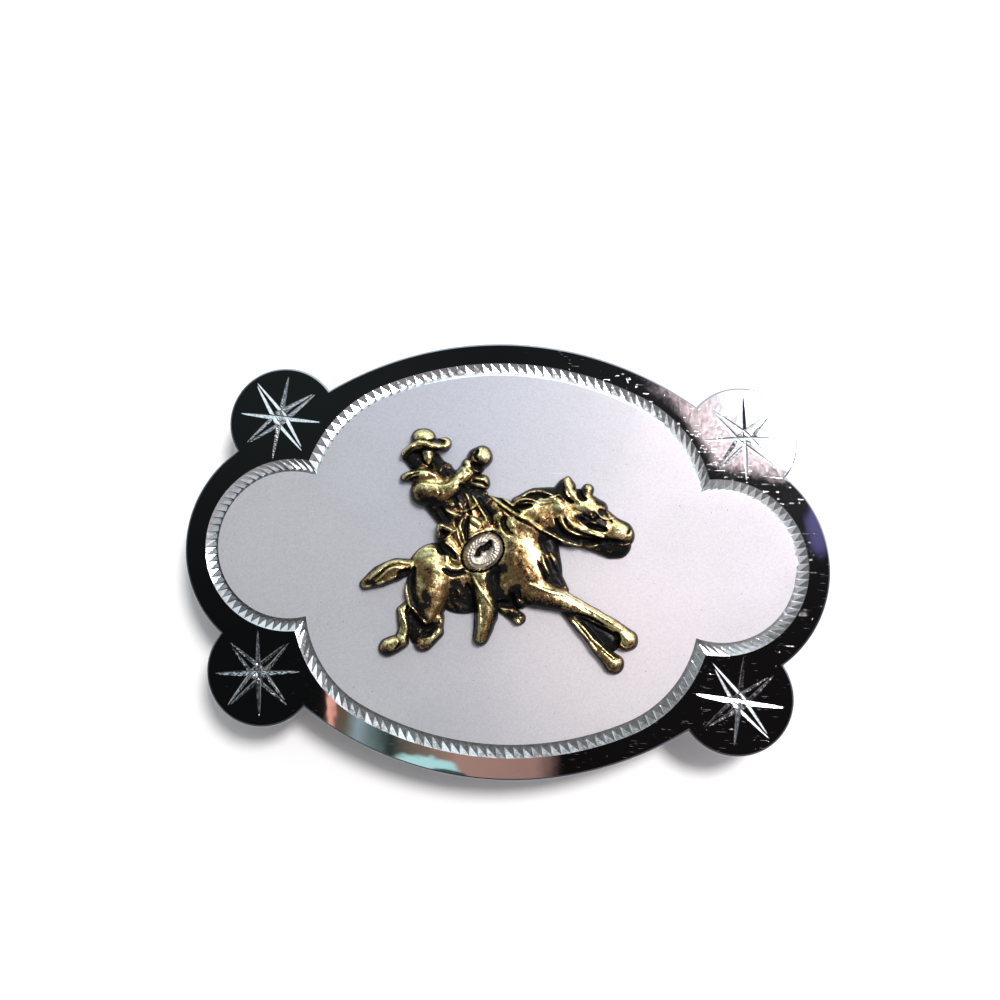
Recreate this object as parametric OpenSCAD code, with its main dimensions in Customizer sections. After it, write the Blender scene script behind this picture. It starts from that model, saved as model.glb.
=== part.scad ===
// Western belt buckle, lying face up: a scalloped nickel-silver plate with a cut border and
// corner stars, a cast brass rider on a galloping horse, and a loop and a hook for the belt.
// Millimetres, +Z up. +X runs along the belt, +Y towards the rider's head.
// The origin is under the middle of the plate, on the surface that the buckle rests on.

/* [Plate] */
// Width over the two side lobes
plate_w = 95; // [93:0.5:97]
// Height of the lens-shaped body
plate_h = 64; // [63:0.5:65]
// Thickness of the plate
plate_t = 1.8; // [1.6:0.1:2.2]
// Radius of the body's long top and bottom arcs
body_r = 49.5; // [48.5:0.5:51]
// Radius of a side lobe
lobe_r = 17.4; // [17:0.1:17.8]
// Radius of a corner disc
disc_r = 8.3; // [8:0.1:8.6]
// Centre of a corner disc along the belt
disc_x = 34.2; // [34:0.1:34.6]
// Centre of a corner disc across the belt
disc_y = 18.4; // [18.2:0.1:18.6]
// Width of the polished bevel along the plate's edges
bevel = 0.35; // [0.2:0.05:0.5]

/* [Cut border] */
// Height of the frosted field's oval
oval_h = 54; // [53:0.5:55]
// Radius of the oval's long arcs
oval_r = 44.5; // [44:0.5:45.5]
// Angle at which a long arc turns into a corner arc
oval_turn = 25; // [24:0.5:26]
// Radius of the oval's four corner arcs
corner_r = 17.2; // [16.8:0.1:17.6]
// Radius of the field's side lobes
field_lobe_r = 10.9; // [10.6:0.1:11.2]
// Centre of a field lobe from the middle
field_lobe_x = 31.6; // [31.3:0.1:31.9]
// Width of the cut border
border_w = 1.9; // [1.6:0.1:2.2]
// Depth of the cut border
border_d = 0.45; // [0.3:0.05:0.6]

/* [Stars] */
// Length of a ray from the star's middle
ray_len = 6.3; // [5.5:0.1:6.5]
// Width of one cut where it is broadest
ray_cut_w = 0.6; // [0.4:0.05:0.8]
// Depth of a cut where it is broadest
ray_cut_d = 0.3; // [0.2:0.05:0.4]
// Turn of each star away from upright
star_turn = 5; // [0:1:10]
// A star's centre stands this far outward of its disc's centre, both along and across the belt
star_out = 0.6; // [0:0.1:0.8]
// The two cuts of an upright or level ray pass this far either side of the star's middle
beside_level = 0.3; // [0.2:0.05:0.5]
// The two cuts of a slanting ray pass this far either side of the star's middle
beside_slant = 0.85; // [0.6:0.05:1]

/* [Rider ornament] */
// Length of the casting from the horse's tail to its leading hoof
rider_len = 40.5; // [38:0.5:42]
// Height of the highest relief above the plate
rider_rise = 3.1; // [2.6:0.1:3.6]
// Facets round one rounded form
rider_facets = 12; // [10:2:16]

/* [Belt fittings] */
// Widest strap that the loop takes
strap_w = 38; // [34:1:38]
// Free height under the plate for the folded strap
strap_gap = 4.4; // [4.2:0.1:5]
// Diameter of the loop's wire
wire_d = 2.6; // [2.4:0.1:3]
// Distance of the loop from the middle
loop_x = 30; // [28:0.5:32]
// Distance of the hook from the middle
hook_x = 33; // [30:0.5:36]
// Diameter of the hook's peg
peg_d = 3.8; // [3.4:0.1:4.2]

/* [Hidden] */
$fn = 64;

// Gap between pieces that are only pressed together
seat = 0.05;
// Cutters run this far past the faces that they open
over = 0.5;

// Heights of the plate's two faces: the loop's bar and the hook's tip stand on the surface
back_z = strap_gap + wire_d;
top_z = back_z + plate_t;

// Circles of the plate's outline
body_y = body_r - plate_h / 2;
lobe_x = plate_w / 2 - lobe_r;

// Circles of the frosted field's outline
oval_y = oval_r - oval_h / 2;
corner_x = (oval_r - corner_r) * sin(oval_turn);
corner_y = (oval_r - corner_r) * cos(oval_turn) - oval_y;
// Direction, at a corner arc's centre, of the point where that arc meets the lobe
meet_dx = field_lobe_x - corner_x;
meet_dist = norm([meet_dx, corner_y]);
meet_corner = acos((corner_r ^ 2 + meet_dist ^ 2 - field_lobe_r ^ 2) / (2 * corner_r * meet_dist))
    - atan(corner_y / meet_dx);
meet_lobe = 180 - atan(corner_y / meet_dx)
    - acos((field_lobe_r ^ 2 + meet_dist ^ 2 - corner_r ^ 2) / (2 * field_lobe_r * meet_dist));
// The corner's cut runs this many degrees past the meeting point, and the lobe's stops inside it
corner_past = 0.5;
lobe_short = 4;

// The loop's legs stand either side of the widest strap, this far from its edges
strap_play = 1;
leg_y = strap_w / 2 + strap_play + wire_d / 2;
loop_bend = wire_d;

// Every form of the casting is a row of rounded stations.
// Columns: x, y, half width, height. Lengths are millimetres on a casting 41 long.
// A faceted station stands a little lower than its height in the table, the tallest of which
// gives the height that the casting is drawn at.
drawn_len = 41;
tallest = 3.2;
drawn_rise = tallest * cos(180 / rider_facets);
X = 0;
Y = 1;
HALF = 2;
RISE = 3;

// Horse: barrel, chest and neck
barrel = [[-9.8, -2.6, 3.9, 2.3], [-5.6, -3.9, 4.9, 1.7], [-1, -2.9, 5, 2], [3, -2.2, 4.9, 2.7]];
shoulder = [[2.2, 0.6, 4.2, 2.8], [3.8, -2.4, 4, 2.9], [5.2, -4.7, 2.8, 2.7]];
neck = [[1.8, 3.2, 3.8, 2.5], [5.2, 5.4, 3.5, 2.6], [8.4, 6.4, 3.1, 2.6]];
chest = [[6.2, 2, 1.9, 1.5], [6.9, -1, 1.8, 1.6], [7.4, -3, 1.5, 1.5], [9.2, -4.6, 0.7, 1.2]];
// Horse: head, ears and mane
skull = [[9.2, 5.7, 3, 2.6], [12, 5.9, 3, 2.8], [15.2, 4.5, 2.3, 2.4], [17.2, 3.9, 2, 2.3]];
jaw = [[8.6, 4.4, 2.6, 2.2], [12.2, 3.6, 2, 1.9], [15.7, 2.1, 1.7, 1.6], [16.8, 2.4, 1.9, 1.6]];
near_ear = [[8.9, 9.3, 1.5, 2.3], [9.1, 10.7, 0.9, 2], [9, 11.7, 0.3, 1.5]];
far_ear = [[11.7, 9.4, 1.1, 1.7], [12.2, 10.5, 0.55, 1.5]];
poll = [[9.4, 8.9, 1.5, 2.2], [11.4, 8.9, 1.5, 2.1]];
forelock = [[11.6, 8.4, 1.5, 2.3], [13.6, 7.4, 1.5, 2.2]];
mane = [[1.7, 8, 0.8, 1.7], [4.3, 8.9, 1.3, 2], [7.2, 9.1, 1.3, 2.2]];
// Horse: forelegs
near_fore = [[5.6, -5.1, 2.3, 2.8], [9.6, -6.3, 1.3, 2.5], [13.4, -7.8, 1, 2.2], [16.8, -9.5, 1, 2.1]];
near_fore_hoof = [[17.4, -10, 1.1, 2.1], [18.6, -11.3, 1.6, 2.2]];
far_fore = [[9.6, -7.4, 0.9, 1.3], [13.2, -11, 0.9, 1.5], [14.8, -12.9, 1, 1.6]];
far_fore_hoof = [[15.3, -13.5, 1, 1.6], [16.8, -14.7, 1.5, 1.7]];
fore_web = [[10.4, -8, 0.8, 0.9], [14.4, -10.4, 1.6, 0.9], [16, -11.6, 1.6, 0.9]];
// Horse: hind legs and tail
thigh = [[-10, -3.4, 3.2, 2.9], [-10.7, -6, 3.3, 3], [-10.3, -9.2, 1.8, 2.6]];
near_hind = [[-9.2, -9.6, 1.2, 2], [-9.3, -11.6, 1.3, 1.8], [-10.9, -13.2, 1.4, 1.9]];
far_hind = [[-13, -7.9, 1, 1.4], [-14.3, -8.9, 0.9, 1.6], [-13.8, -11.4, 0.9, 1.7], [-14.2, -13.2, 1.1, 1.8]];
far_hind_hoof = [[-14.2, -13.3, 1.2, 1.8], [-16, -14.2, 1.4, 1.9]];
hind_web = [[-12.2, -9.8, 1.4, 0.9], [-11.6, -12.4, 1.3, 0.9]];
tail = [[-13, -2.2, 0.9, 1.5], [-15.6, -2.8, 1.6, 2], [-17.8, -4.1, 1.4, 1.9], [-20, -5.4, 0.7, 1.4]];
// Rider: trunk, saddle and leg
trunk = [[-11.2, 9.7, 2.7, 2.2], [-8.4, 7.6, 3.4, 2.5], [-6.2, 5.2, 3.4, 2.4], [-5.6, 2.6, 3.6, 2.4]];
bust = [[-10, 12, 1.6, 2], [-8.2, 10, 2.2, 2.2], [-5, 7.8, 2.6, 2.2]];
withers = [[-3.2, 7, 1.8, 1.7], [0, 6.4, 1.9, 1.9], [-2.6, 4.4, 1.6, 1.9]];
cantle = [[-9.5, 2.2, 0.6, 2], [-9.4, 3.8, 0.6, 2.4], [-7.9, 3.3, 0.6, 2.5]];
saddle = [[-8.2, 1.4, 1.7, 2.4], [-6.6, -0.8, 1.8, 2.3]];
rider_leg = [[-2.9, -2.4, 2.1, 3], [-2.3, -5.8, 1.7, 3], [-1.8, -9, 1.5, 2.7], [-2.7, -12.4, 1, 2.1]];
far_boot = [[0.6, -7.6, 1, 1.1], [2.8, -9, 1, 1.3]];
belly_shade = [[0.2, -6.2, 1.2, 1], [3, -6.2, 1.4, 1.6]];
// Rider: arm, hands, neckerchief, head and hat
raised_arm = [[-12.5, 9, 1.7, 3], [-9.5, 8.9, 1.5, 3.2], [-7.6, 10.2, 1.4, 3.2], [-5.6, 12.3, 1.1, 3]];
fist = [[-4.8, 13.7, 1.3, 2.8], [-3.9, 14.5, 1.4, 2.8]];
rein_arm = [[-5.6, 10.4, 1.2, 2], [-3.7, 10.6, 1.3, 2.4]];
neckerchief = [[-15.5, 10.7, 0.5, 1.5], [-13.8, 11.6, 0.8, 2.2], [-11.9, 11.7, 1.1, 2.6], [-10.4, 12.4, 1, 2.3]];
head = [[-13.2, 14, 1.8, 2.2], [-11.9, 13.9, 1.9, 2.6]];
crown = [[-13, 16.5, 1.7, 2.8], [-12.5, 16.5, 1.8, 3]];
brim = [[-15.1, 14.4, 1, 1.9], [-13.8, 15.5, 0.9, 2.6], [-11.6, 15.8, 0.9, 3], [-9.7, 16.2, 1.1, 2.7]];
// Tack: the two reins, the saddle horn and the stirrup strap's rosette
upper_rein = [[-2.7, 9.5, 0.35, 2], [0.9, 7.6, 0.35, 2.2], [3.4, 6.1, 0.35, 2.7]];
lower_rein = [[-2.6, 8.7, 0.35, 2], [1.4, 6.4, 0.35, 2.6], [5.2, 4.4, 0.35, 2.8],
    [8.6, 2.8, 0.35, 2.2], [13, 1.9, 0.35, 1.7]];
horn = [[-1.8, 5, 0.9, 2.5], [-0.8, 6, 0.8, 2.9]];

FORMS = [barrel, shoulder, neck, chest, skull, jaw, near_ear, far_ear, poll, forelock, mane,
    near_fore, near_fore_hoof, far_fore, far_fore_hoof, fore_web,
    thigh, near_hind, far_hind, far_hind_hoof, hind_web, tail,
    trunk, bust, withers, cantle, saddle, rider_leg, far_boot, belly_shade,
    raised_arm, fist, rein_arm, neckerchief, head, crown, brim,
    upper_rein, lower_rein, horn];

// Lariat coil: a tilted oval ring. Columns: x, y, half width, height, as above
coil_x = -3;
coil_y = 0.2;
coil_r = 1.8;
coil_rope = 1.2;
coil_rise = 3;
coil_stretch = 1.12;
coil_lean = 40;
coil_facets = 20;
rope_facets = 8;

// The casting is drawn round this point and shrunk to its real length about it
drawn_mid = [3.3, -2.95];

// A disc with both edges bevelled
module bevelled_disc(x, y, r) {
    translate([x, y, back_z])
        rotate_extrude()
            polygon([[0, 0], [r - bevel, 0], [r, bevel], [r, plate_t - bevel],
                [r - bevel, plate_t], [0, plate_t]]);
}

// The plate before it is cut
module blank() {
    intersection() {
        bevelled_disc(0, -body_y, body_r);
        bevelled_disc(0, body_y, body_r);
        translate([-lobe_x - 1, -plate_h, 0])
            cube([2 * lobe_x + 2, 2 * plate_h, top_z + over]);
    }
    for (side = [-1, 1]) {
        bevelled_disc(side * lobe_x, 0, lobe_r);
        for (end = [-1, 1])
            bevelled_disc(side * disc_x, end * disc_y, disc_r);
    }
}

// A stretch of the cut border outside an arc of radius r, from one angle to another
module border_arc(x, y, r, from, to) {
    translate([x, y, top_z])
        rotate([0, 0, from])
            rotate_extrude(angle = to - from)
                polygon([[r, over], [r, 0], [r + border_w / 2, -border_d], [r + border_w, 0],
                    [r + border_w, over]]);
}

// The whole cut border
module border_cut() {
    for (end = [0, 180])
        rotate([0, 0, end])
            border_arc(0, -oval_y, oval_r, 90 - oval_turn, 90 + oval_turn);
    for (side = [0, 1])
        mirror([side, 0, 0]) {
            for (end = [0, 1])
                mirror([0, end, 0])
                    border_arc(corner_x, corner_y, corner_r, meet_corner - corner_past,
                        90 - oval_turn);
            border_arc(field_lobe_x, 0, field_lobe_r, lobe_short - meet_lobe,
                meet_lobe - lobe_short);
        }
}

// One tapered cut from a ray's tip to the star's middle, passing beside the ray's middle line
module ray_cut(beside) {
    high = 0.1;
    grow = 1 + high / ray_cut_d;
    w = ray_cut_w / 2 * grow;
    inner = 0.4;
    polyhedron(
        points = [[ray_len, 0, high], [inner, beside - w, high], [inner, beside + w, high],
            [inner, beside, -ray_cut_d]],
        faces = [[0, 1, 2], [0, 3, 1], [0, 2, 3], [1, 3, 2]]);
}

// Eight rays of two cuts each, upright rays narrow and slanting rays broad
module star_cut() {
    for (ray = [0:7])
        rotate([0, 0, ray * 45])
            for (beside = [-1, 1])
                ray_cut(beside * (ray % 2 == 0 ? beside_level : beside_slant));
}

module plate() {
    color("silver")
        difference() {
            blank();
            border_cut();
            for (side = [-1, 1])
                for (end = [-1, 1])
                    translate([side * (disc_x + star_out), end * (disc_y + star_out), top_z])
                        rotate([0, 0, side * end * star_turn])
                            star_cut();
        }
}

// One station of a form: a rounded lump that stands on the plate's face
module station(row) {
    translate([row[X], row[Y], 0])
        scale([row[HALF], row[HALF], row[RISE]])
            sphere(1, $fn = rider_facets);
}

// A rounded form through its stations
module form(rows) {
    for (i = [1:len(rows) - 1])
        hull() {
            station(rows[i - 1]);
            station(rows[i]);
        }
}

module lariat() {
    translate([coil_x, coil_y, 0])
        rotate([0, 0, coil_lean])
            scale([coil_stretch, 1, coil_rise / coil_rope])
                rotate_extrude($fn = coil_facets)
                    translate([coil_r, 0])
                        circle(coil_rope, $fn = rope_facets);
}

module rider_ornament() {
    shrink = rider_len / drawn_len;
    color("darkgoldenrod")
        translate([drawn_mid[X], drawn_mid[Y], top_z + seat])
            scale([shrink, shrink, rider_rise / drawn_rise])
                translate([-drawn_mid[X], -drawn_mid[Y], 0])
                    intersection() {
                        union() {
                            for (rows = FORMS)
                                form(rows);
                            lariat();
                        }
                        translate([-drawn_len, -drawn_len, 0])
                            cube(2 * drawn_len);
                    }
}

// A fixed wire loop: a bar across the belt on two legs with rounded corners
module belt_loop() {
    bar_z = wire_d / 2;
    bend_z = bar_z + loop_bend;
    color("silver")
        translate([-loop_x, 0, 0]) {
            translate([0, -(leg_y - loop_bend), bar_z])
                rotate([-90, 0, 0])
                    cylinder(h = 2 * (leg_y - loop_bend), d = wire_d);
            for (end = [0, 1])
                mirror([0, end, 0])
                    translate([0, leg_y - loop_bend, bend_z]) {
                        rotate([0, 90, 0])
                            rotate_extrude(angle = 90)
                                translate([loop_bend, 0])
                                    circle(d = wire_d);
                        translate([0, loop_bend, 0])
                            cylinder(h = back_z - seat - bend_z, d = wire_d);
                    }
        }
}

// A round-tipped peg on a flat foot
module belt_hook() {
    tip = peg_d / 2;
    foot_r = 3;
    foot_t = 0.8;
    color("silver")
        translate([hook_x, 0, 0])
            rotate_extrude() {
                intersection() {
                    translate([0, tip])
                        circle(tip);
                    square([tip, tip]);
                }
                translate([0, tip])
                    square([tip, back_z - seat - tip]);
                translate([0, back_z - seat - foot_t])
                    square([foot_r, foot_t]);
            }
}

plate();
rider_ornament();
belt_loop();
belt_hook();
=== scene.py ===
# Western belt buckle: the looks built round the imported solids.
# Lengths in the tables are millimetres in the frame of the solids; objects are made in metres.
import math

import bpy
import numpy as np
from mathutils import Matrix, Vector
from mathutils.geometry import delaunay_2d_cdt


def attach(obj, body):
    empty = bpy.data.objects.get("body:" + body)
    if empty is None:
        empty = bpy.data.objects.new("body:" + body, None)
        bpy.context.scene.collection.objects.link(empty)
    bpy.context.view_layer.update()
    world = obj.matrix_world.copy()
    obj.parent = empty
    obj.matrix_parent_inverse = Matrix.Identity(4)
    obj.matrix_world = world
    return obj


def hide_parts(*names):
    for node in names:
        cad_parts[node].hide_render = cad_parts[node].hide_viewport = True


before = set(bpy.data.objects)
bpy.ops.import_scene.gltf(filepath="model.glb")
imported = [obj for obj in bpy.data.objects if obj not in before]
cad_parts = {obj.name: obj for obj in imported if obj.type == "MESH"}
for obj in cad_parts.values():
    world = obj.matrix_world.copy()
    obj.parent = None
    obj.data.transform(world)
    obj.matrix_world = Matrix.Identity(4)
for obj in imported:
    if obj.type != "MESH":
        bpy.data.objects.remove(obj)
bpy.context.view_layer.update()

MM = 0.001
rng = np.random.default_rng(11)

# Plate: the same driving sizes as the solid's
PLATE_W = 95
PLATE_H = 64
PLATE_T = 1.8
BODY_R = 49.5
LOBE_R = 17.4
DISC_R = 8.3
DISC_X = 34.2
DISC_Y = 18.4
BACK_Z = 7.0
TOP_Z = BACK_Z + PLATE_T
EDGE_ROUND = 0.3
ROUND_STEPS = 6
# Points along each arc of the outline
LOBE_STEPS = 40
DISC_STEPS = 56
BODY_STEPS = 90

# Frosted field and the cut border round it
OVAL_H = 54
OVAL_R = 44.5
OVAL_TURN = 25
CORNER_R = 17.2
FIELD_LOBE_R = 10.9
FIELD_LOBE_X = 31.6
BORDER_W = 1.9
LONG_STEPS = 200
CORNER_STEPS = 150
PITCH_LONG = 1.32
PITCH_LOBE = 1.16
# Points of one tooth; columns: share of the pitch, share of the width from the outer edge, depth, wobble
OUTER = (0, 0, 0, 0)
VALLEY = (-0.05, 0.66, 0.42, 0.05)
SHOULDER = (-0.24, 0.80, 0.22, 0.04)
INNER_NEAR = (-0.12, 1.0, 0.0, 0.03)
INNER_FAR = (0.42, 1.0, 0.0, 0.05)
END_DEPTH = 0.25
# The groove deepens by this share at the left; rows for x and y: where that starts and over what length
LEFT_DEEPER = 0.8
DEEPER_X = (-8, -22)
DEEPER_Y = (-14, 8)
# A facet that leans less than this isn't turned over
UPRIGHT_TOL = 1e-6
# Painted shade on the border: on the plate's side that lies this way the inner facets are bright and the
# outer ones get the darker copy of the metal, and on the other side the outer ones are bright
LIT_SIDE = (0.35, 0.94, 0)

# Stars
RAY_LEN = 6.3
STAR_TURN = 5
STAR_OUT = 0.6
CUT_SLOPE = math.tan(math.radians(17))
CUT_FLOOR = 0.5
# The rays counter-clockwise from +X; columns: distance of its cuts from its middle line, half
# width of a cut, side on which the cut's broad facet lies, share of the full slope
RAYS = [
    (0, 0.48, 1, 1), (0.8, 0.36, 1, 0.5), (0, 0.42, 1, 0.9), (0.8, 0.36, -1, 1),
    (0, 0.48, -1, 1), (0.8, 0.36, -1, 0.5), (0, 0.42, 1, 1), (0.8, 0.36, 1, 1),
]
# Hand-made unevenness: turn in degrees, length, how much shorter a second cut may be, width
RAY_TURN_OFF = (-2, 2)
RAY_LEN_OFF = (-0.3, 0.2)
SECOND_SHORTER = (0, 0.9)
WIDTH_OFF = (0.9, 1.1)
# A ray's two cuts stand this far apart from its middle line at the tip, and pass the star's middle by this
TIP_SPREAD = 0.12
PASS_MIDDLE = 0.1
# Stations along a cut, as shares of its length, and the share where it has run out
STATIONS = (0.04, 0.12, 0.3, 0.55, 0.8, 1.0)
RUN_OUT = 1.06
# Grid points near a star's middle: spacing, half side, reach and the least depth of cut under one
STAR_GRID = 0.1
STAR_GRID_HALF = 1.8
STAR_GRID_R = 1.7
STAR_GRID_DEPTH = 0.01
# Cuts less deep than this are left out
CUT_TOL = 1e-4

BODY_Y = BODY_R - PLATE_H / 2
LOBE_X = PLATE_W / 2 - LOBE_R
OVAL_Y = OVAL_R - OVAL_H / 2
CORNER_X = (OVAL_R - CORNER_R) * math.sin(math.radians(OVAL_TURN))
CORNER_Y = (OVAL_R - CORNER_R) * math.cos(math.radians(OVAL_TURN)) - OVAL_Y
FLIP_X, FLIP_Y = np.array([-1, 1]), np.array([1, -1])

# Camera, fitted to the photograph
EYE = (3.27, -2.95, 116.13)
EYE_RIGHT = (0.998, 0.0534, -0.0328)
EYE_UP = (-0.0497, 0.9931, 0.1065)
LENS = 26.24
SHIFT_Y = -0.0015
REACH = EYE[2] - TOP_Z


def make_object(name, points, faces, materials, face_material=None, smooth=None):
    """A mesh object from points in millimetres. smooth and face_material are per face."""
    mesh = bpy.data.meshes.new(name)
    mesh.from_pydata([tuple(p) for p in np.asarray(points, float) * MM], [], faces)
    for m in materials:
        mesh.materials.append(m)
    if face_material is not None:
        mesh.polygons.foreach_set("material_index", np.asarray(face_material, np.int32))
    if smooth is not None:
        mesh.polygons.foreach_set("use_smooth", np.asarray(smooth, bool))
    mesh.update()
    obj = bpy.data.objects.new(name, mesh)
    bpy.context.scene.collection.objects.link(obj)
    return obj


# Outlines made of arcs

def crossing(c1, r1, c2, r2, toward):
    """The point where two circles cross, on the side nearer to the given direction."""
    d = np.subtract(c2, c1)
    dist = math.hypot(*d)
    along = (r1 * r1 - r2 * r2 + dist * dist) / (2 * dist)
    up = math.sqrt(max(r1 * r1 - along * along, 0))
    foot = np.add(c1, d * along / dist)
    side = np.array([-d[1], d[0]]) * up / dist
    a, b = foot + side, foot - side
    return a if np.dot(a, toward) > np.dot(b, toward) else b


def arc_points(centre, r, start, end, count):
    """Points along the counter-clockwise arc from start to end, both included."""
    a = math.atan2(start[1] - centre[1], start[0] - centre[0])
    b = math.atan2(end[1] - centre[1], end[0] - centre[0])
    if b < a:
        b += 2 * math.pi
    t = np.linspace(a, b, count)
    return np.stack([centre[0] + r * np.cos(t), centre[1] + r * np.sin(t)], 1)


def plate_outline(inset):
    """The scalloped outline moved inwards, counter-clockwise from the right lobe's lower notch."""
    lobe_r, disc_r, body_r = LOBE_R - inset, DISC_R - inset, BODY_R - inset
    lobe, disc, body = (LOBE_X, 0), (DISC_X, DISC_Y), (0, -BODY_Y)
    low = crossing(lobe, lobe_r, disc, disc_r, (1, 0.2))
    high = crossing(body, body_r, disc, disc_r, (0, 1))
    arcs = [
        arc_points(lobe, lobe_r, low * FLIP_Y, low, LOBE_STEPS),
        arc_points(disc, disc_r, low, high, DISC_STEPS),
        arc_points(body, body_r, high, high * FLIP_X, BODY_STEPS),
        arc_points(disc * FLIP_X, disc_r, high * FLIP_X, low * FLIP_X, DISC_STEPS),
    ]
    half = np.vstack([arc[:-1] for arc in arcs])
    return np.vstack([half, -half])


def field_runs(out):
    """The field's four edge curves moved outwards: right lobe, top, left lobe, bottom."""
    lobe_r, corner_r, oval_r = FIELD_LOBE_R + out, CORNER_R + out, OVAL_R + out
    lobe, corner, oval = (FIELD_LOBE_X, 0), (CORNER_X, CORNER_Y), (0, -OVAL_Y)
    cusp = crossing(lobe, lobe_r, corner, corner_r, (0, 1))
    turn = math.radians(90 - OVAL_TURN)
    join = np.array([math.cos(turn) * oval_r, math.sin(turn) * oval_r - OVAL_Y])
    right = arc_points(lobe, lobe_r, cusp * FLIP_Y, cusp, LONG_STEPS)
    rising = arc_points(corner, corner_r, cusp, join, CORNER_STEPS)
    over = arc_points(oval, oval_r, join, join * FLIP_X, LONG_STEPS)
    top = np.vstack([rising[:-1], over[:-1], (rising * FLIP_X)[::-1]])
    return [right, top, -right, -top]


def along(run, share):
    """Points at the given shares of a curve's length."""
    step = np.hypot(*np.diff(run, axis=0).T)
    s = np.concatenate([[0], np.cumsum(step)])
    share = np.asarray(share) * s[-1]
    return np.stack([np.interp(share, s, run[:, 0]), np.interp(share, s, run[:, 1])], 1)


# Materials, all procedural

def feed(tree, socket, value):
    """Sets a socket to a number or a colour, or links another node's output to it."""
    if isinstance(value, bpy.types.NodeSocket):
        tree.links.new(value, socket)
    elif isinstance(value, tuple):
        socket.default_value = (*value, 1)
    else:
        socket.default_value = value


def math_node(tree, op, *values):
    node = tree.nodes.new("ShaderNodeMath")
    node.operation = op
    for socket, value in zip(node.inputs, values):
        feed(tree, socket, value)
    return node.outputs[0]


def chain(tree, op, first, *rest):
    """Two or more values joined from the left by one operation."""
    for value in rest:
        first = math_node(tree, op, first, value)
    return first


def ramp(tree, fac, low, high, a=0.0, b=1.0):
    """A smooth step of fac from a, at low, to b, at high."""
    node = tree.nodes.new("ShaderNodeMapRange")
    node.interpolation_type = "SMOOTHSTEP"
    feed(tree, node.inputs["Value"], fac)
    for name, value in (("From Min", low), ("From Max", high), ("To Min", a), ("To Max", b)):
        node.inputs[name].default_value = value
    return node.outputs["Result"]


def blend_colour(tree, fac, a, b, how="MIX"):
    node = tree.nodes.new("ShaderNodeMix")
    node.data_type = "RGBA"
    node.blend_type = how
    for socket, value in (("Factor", fac), (6, a), (7, b)):
        feed(tree, node.inputs[socket], value)
    return node.outputs[2]


def place(tree, stretch=(1, 1, 1), turn=0.0):
    """Object coordinates, stretched and turned about Z."""
    coords = tree.nodes.new("ShaderNodeTexCoord")
    mapping = tree.nodes.new("ShaderNodeMapping")
    mapping.inputs["Scale"].default_value = stretch
    mapping.inputs["Rotation"].default_value = (0, 0, math.radians(turn))
    tree.links.new(coords.outputs["Object"], mapping.inputs["Vector"])
    return mapping.outputs["Vector"]


def noise(tree, scale, detail=2.0, rough=0.5, where=None):
    node = tree.nodes.new("ShaderNodeTexNoise")
    tree.links.new(place(tree) if where is None else where, node.inputs["Vector"])
    for name, value in (("Scale", scale), ("Detail", detail), ("Roughness", rough)):
        node.inputs[name].default_value = value
    return node.outputs["Fac"]


def scratches(tree, turn, scale=1300, low=0.71, high=0.78):
    """Short thin marks at one angle, as a mask from 0 to 1."""
    fine = noise(tree, scale, 2, where=place(tree, (0.3, 11, 1), turn))
    patch = noise(tree, 120, 2, where=place(tree, (1, 1, 1), turn))
    return math_node(tree, "MULTIPLY", ramp(tree, fine, low, high), ramp(tree, patch, 0.48, 0.62))


def towards_right(tree):
    """A mask that grows from the plate's left end to its right end."""
    split = tree.nodes.new("ShaderNodeSeparateXYZ")
    tree.links.new(place(tree), split.inputs[0])
    return ramp(tree, split.outputs[0], -0.005, 0.035, 0.12, 1.0)


def near_place(tree, middle, reach):
    """A mask that is 1 at one place on the plate and falls to 0 at a distance from it."""
    apart = tree.nodes.new("ShaderNodeVectorMath")
    apart.operation = "DISTANCE"
    tree.links.new(place(tree), apart.inputs[0])
    apart.inputs[1].default_value = middle
    return ramp(tree, apart.outputs["Value"], 0, reach, 1.0, 0.0)


def new_material(name):
    m = bpy.data.materials.new(name)
    m.use_nodes = True
    return m, m.node_tree


def finish_material(m, colour, rough, metallic, bumps, specular=0.5):
    """Feeds the shader. bumps are height, strength and distance in metres, one on top of the other."""
    tree = m.node_tree
    inputs = tree.nodes["Principled BSDF"].inputs
    feed(tree, inputs["Base Color"], colour)
    feed(tree, inputs["Roughness"], rough)
    feed(tree, inputs["Metallic"], metallic)
    feed(tree, inputs["Specular IOR Level"], specular)
    last = None
    for height, strength, distance in bumps:
        node = tree.nodes.new("ShaderNodeBump")
        node.inputs["Strength"].default_value = strength
        node.inputs["Distance"].default_value = distance
        tree.links.new(height, node.inputs["Height"])
        if last is not None:
            tree.links.new(last, node.inputs["Normal"])
        last = node.outputs["Normal"]
    tree.links.new(last, inputs["Normal"])
    return m


def polished_material(name, bright, dull, wear):
    """Mirror polish with scratches, which grow towards the right, and faint waves."""
    m, tree = new_material(name)
    dots = ramp(tree, noise(tree, 2300, 1), 0.785, 0.8)
    marks = chain(tree, "MAXIMUM", *[scratches(tree, turn) for turn in (35, -25, 80)], dots)
    worn = math_node(tree, "MULTIPLY", marks, towards_right(tree))
    smear = noise(tree, 60, 3)
    rough = math_node(tree, "ADD", ramp(tree, smear, 0.4, 0.75, 0.02, 0.045),
                      math_node(tree, "MULTIPLY", worn, wear))
    tint = blend_colour(tree, ramp(tree, smear, 0.35, 0.7), bright, dull)
    wave, ripple = noise(tree, 70, 1), noise(tree, 420, 1)
    return finish_material(m, tint, rough, 1.0, [(wave, 0.2, 0.0004), (ripple, 0.12, 0.00003),
                                                 (worn, 0.3, 0.00002)])


# Painted shade: the cut metal is darkened towards the plate's left, which lies in less light; columns are
# middle, reach and the brightness that stays
LEFT_SHADE = [
    ((-0.036, 0.008, 0.0088), 0.036, 0.75),
    ((-0.042, -0.007, 0.0088), 0.02, 0.55),
]


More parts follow.
